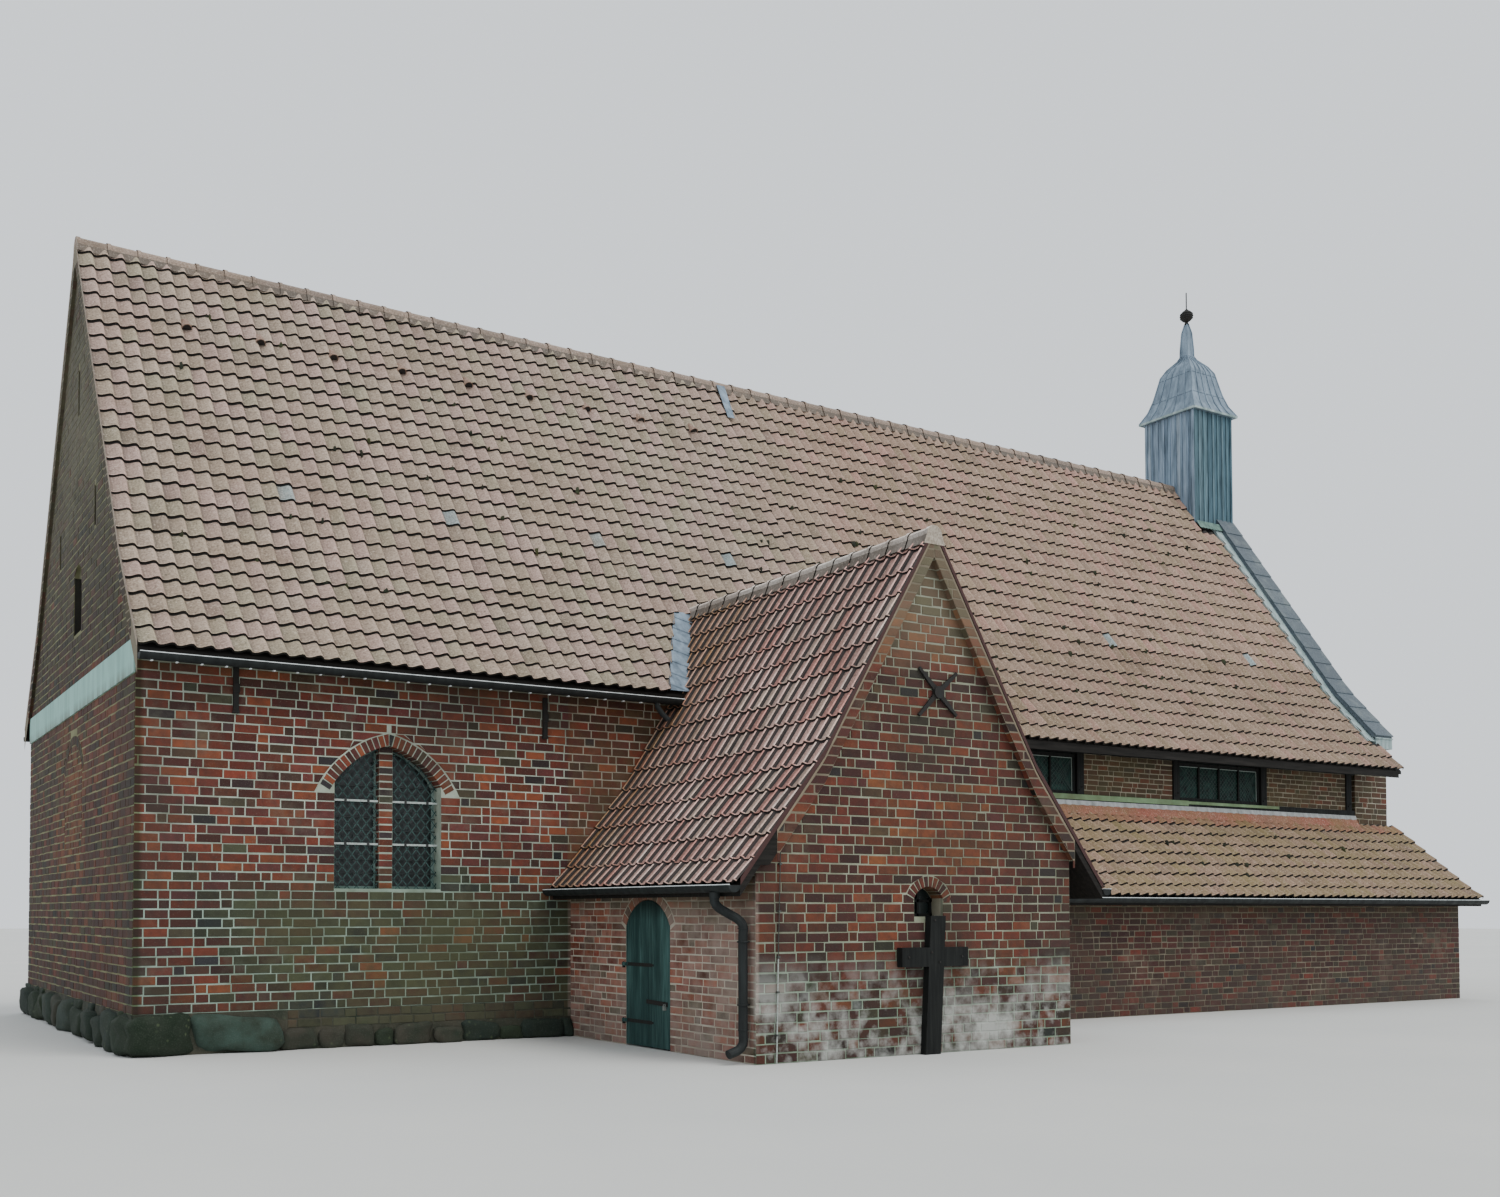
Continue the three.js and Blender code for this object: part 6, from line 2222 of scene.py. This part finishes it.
def line_slots():
    """Near-black linings of the attic opening and the slits in the west gable: painted shade inside them."""
    soup = Soup()
    wall = Wall("west", WEST)
    dark = srgb(30, 28, 24)
    frames = [(-y, SLIT_HALF, low, high) for y, low, high in SLITS]
    frames.append((-ATTIC["y"], ATTIC["half"], ATTIC["bottom"], ATTIC["top"] - ATTIC["rise"]))
    for u, half, low, high in frames:
        for sign in (-1, 1):
            edge = u + sign * (half - 0.002)
            quad = [wall.point(edge, low, -0.004), wall.point(edge, low, -0.40),
                    wall.point(edge, high, -0.40), wall.point(edge, high, -0.004)]
            soup.face(*(quad if sign < 0 else quad[::-1]), tint=dark)
        level = [wall.point(u - half, low + 0.002, -0.004), wall.point(u + half, low + 0.002, -0.004),
                 wall.point(u + half, low + 0.002, -0.40), wall.point(u - half, low + 0.002, -0.40)]
        soup.face(*level, tint=dark)
    soup.piece("gable_opening_linings", "brick", "brick")


def add_vent_tiles():
    """Small clay hoods with their mouth facing down the slope, closed by a near-black face and lined darker:
    painted shade inside the hood.
    """
    soup = Soup()
    slope = Slope(main_line(NAVE_EAVE), "x", -1)
    place = slope_places(slope, [VENT_TILES_Z])[0]
    steps = 8
    for x in VENT_TILES_X:
        mouth, back = [], []
        for k in range(steps + 1):
            turn = math.pi * k / steps
            mouth.append(slope.point(x - 0.075 * math.cos(turn), place, 0.04 + 0.090 * math.sin(turn)))
            back.append(slope.point(x - 0.045 * math.cos(turn), place + 0.20, 0.04 + 0.022 * math.sin(turn)))
        faces = [(k, k + 1, steps + k + 2, steps + k + 1) for k in range(steps)]
        soup.sheet(mouth + back, faces, srgb(140, 112, 98), smooth=True)
        hollow = [slope.point(x - 0.062 * math.cos(math.pi * k / steps), place + 0.004,
                              0.04 + 0.077 * math.sin(math.pi * k / steps)) for k in range(steps + 1)]
        soup.face(*hollow, tint=srgb(26, 22, 20))
        soup.sheet(mouth + hollow, faces, srgb(120, 94, 82))
    soup.piece("vent_tiles", "main_tile", "roof_tile")


CLUMP_TINTS = (srgb(44, 46, 28), srgb(58, 60, 30), srgb(36, 36, 26))


def add_roof_moss():
    """Small clumps of moss that sit on the lower edges of the tiles."""
    rng = random_source
    soup = Soup()
    west = Slope(main_line(NAVE_EAVE), "x", -1)
    east = Slope(main_line(AISLE_SIDE_EAVE), "x", -1)
    lean_to = Slope(AISLE_LINE, "x", -1)
    places = []
    for slope, gauge, along, heights, count in (
            (west, NAVE_GAUGE, (-11.4, -4.6), (5.2, 9.8), 36),
            (east, EAST_GAUGE, (-1.0, 9.6), (5.0, 9.2), 84),
            (east, EAST_GAUGE, (-2.2, -1.5), (5.0, 7.5), 6),
            (lean_to, AISLE_GAUGE, (-0.2, 9.5), (2.05, 2.9), 16)):
        for _ in range(count):
            height = rng.uniform(*heights)
            row = round(slope_places(slope, [height])[0] / gauge)
            places.append((slope, rng.uniform(*along), row * gauge))
    for slope, a, s in places:
        wide, long = rng.uniform(0.018, 0.045), rng.uniform(0.03, 0.085)
        ring = []
        for k in range(9):
            turn = 2 * math.pi * k / 9
            reach = rng.uniform(0.7, 1.15)
            ring.append(slope.point(a + wide * reach * math.cos(turn),
                                    s + long * reach * math.sin(turn), 0.036))
        top = [slope.point(a + rng.uniform(-0.01, 0.01), s + long * share, 0.090) for share in (-0.3, 0.3)]
        tint = shade(rng.choice(CLUMP_TINTS), rng.uniform(0.8, 1.2))
        faces = [(k, (k + 1) % 9, 10 if k < 5 else 9) for k in range(9)] + [(0, 10, 9), (5, 9, 10)]
        soup.sheet(ring + top, faces, tint, smooth=True)
    soup.piece("roof_moss_clumps", "stone", "roof_tile")


# Which parts of the model get which material

NODE_FINISH = {
    "mortar": ("nave_front_wall", "nave_wall_beside_arch", "inner_arch_head", "north_wall", "west_gable",
               "east_gable", "porch_west_wall_north", "porch_west_wall_south", "porch_door_head",
               "porch_east_wall", "porch_gable"),
    # The aisle walls take the darker mortar, painted shade under the aisle eave
    "dark_mortar": ("aisle_front_wall", "aisle_east_wall"),
    "panel_mortar": ("clerestory_panel_1", "clerestory_panel_2", "clerestory_panel_3"),
    "plaster": ("plaster_band",),
    "under_roof": ("main_roof_front", "main_roof_back", "aisle_roof", "porch_roof_east", "porch_roof_west"),
    "main_tile": ("main_ridge_tiles",),
    "porch_tile": ("porch_ridge_tiles",),
    "timber": ("clerestory_frame", "wooden_cross"),
    "glass": ("front_window", "north_window_1", "north_window_2", "north_window_3", "east_window",
              "porch_window"),
    "green_glass": ("clerestory_window_1", "clerestory_window_2"),
    "boards": ("turret_body",),
    "zinc": ("turret_cap",),
    "iron": ("turret_finial", "door_hook_lower", "door_hook_upper"),
    "gutter": ("nave_gutter", "north_gutter", "aisle_gutter", "porch_gutter_west", "porch_gutter_east",
               "porch_downpipe"),
    "slate": ("coping_north", "coping_south"),
    "stone": ("footing_front", "footing_west", "footing_north"),
    "paving": ("floor",),
    "paint": ("door_leaf",),
}
PLAIN_TINT = {"slate": srgb(84, 96, 106), "stone": srgb(92, 100, 90), "main_tile": srgb(160, 132, 116),
              "porch_tile": srgb(150, 96, 84)}


def finish_nodes():
    for finish, names in NODE_FINISH.items():
        for name in names:
            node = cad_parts[name]
            mesh = node.data
            tint = mesh.color_attributes.new("tint", "FLOAT_COLOR", "CORNER")
            colour = PLAIN_TINT.get(finish, WHITE)
            tint.data.foreach_set("color", np.tile(np.array(colour, float), len(mesh.loops)))
            mesh.materials.clear()
            mesh.materials.append(materials[finish])


# Camera, light and floor


def set_camera():
    camera_data = bpy.data.cameras.new("camera")
    camera = bpy.data.objects.new("camera", camera_data)
    camera.location = CAMERA_PLACE
    camera.rotation_euler = (math.pi / 2 + CAMERA_PITCH, 0.0, -CAMERA_YAW)
    camera_data.sensor_width = SENSOR_WIDTH
    camera_data.lens = LENS
    camera_data.shift_x, camera_data.shift_y = SHIFT
    camera_data.clip_end = 500.0
    scene.collection.objects.link(camera)
    scene.camera = camera


def lay_stage_floor():
    bpy.ops.mesh.primitive_grid_add(x_subdivisions=4, y_subdivisions=4, size=240.0, location=(0, 0, -0.002))
    ground = bpy.context.object
    ground.name = "stage_floor"
    ground.data.materials.append(materials["stage"])


def set_light():
    world = bpy.data.worlds.new("studio")
    world.use_nodes = True
    background = world.node_tree.nodes["Background"]
    background.inputs["Color"].default_value = SKY_COLOUR
    background.inputs["Strength"].default_value = SKY_STRENGTH
    scene.world = world

    sun_data = bpy.data.lights.new("soft_sun", "SUN")
    sun_data.energy = SUN_STRENGTH
    sun_data.angle = math.radians(SUN_WIDTH)
    sun_data.color = SUN_COLOUR
    sun = bpy.data.objects.new("soft_sun", sun_data)
    sun.rotation_euler = (math.radians(SUN_TURN[0]), 0.0, math.radians(SUN_TURN[1]))
    scene.collection.objects.link(sun)


set_camera()
lay_stage_floor()
set_light()
finish_nodes()
lay_walls()
lay_main_roof()
lay_porch_roof()
lay_aisle_roof()
lay_ridges()
lay_footings()
lay_verges()
line_slots()
glaze_windows()
frame_porch_window()
glaze_clerestory()
dress_clerestory()
lay_lead_flashing()
lay_valley_zinc()
lay_parapet_zinc()
lay_turret_flashing()
lay_coping_slates()
dress_gutters()
add_valley_outlet()
add_anchors()
add_lightning_conductor()
dress_cross()
lay_turret_boarding()
lay_cap_seams()
lay_cap_strip()
add_finial_rings()
lay_door_planks()
add_door_ironwork()
add_padlock()
add_vent_tiles()
add_roof_moss()
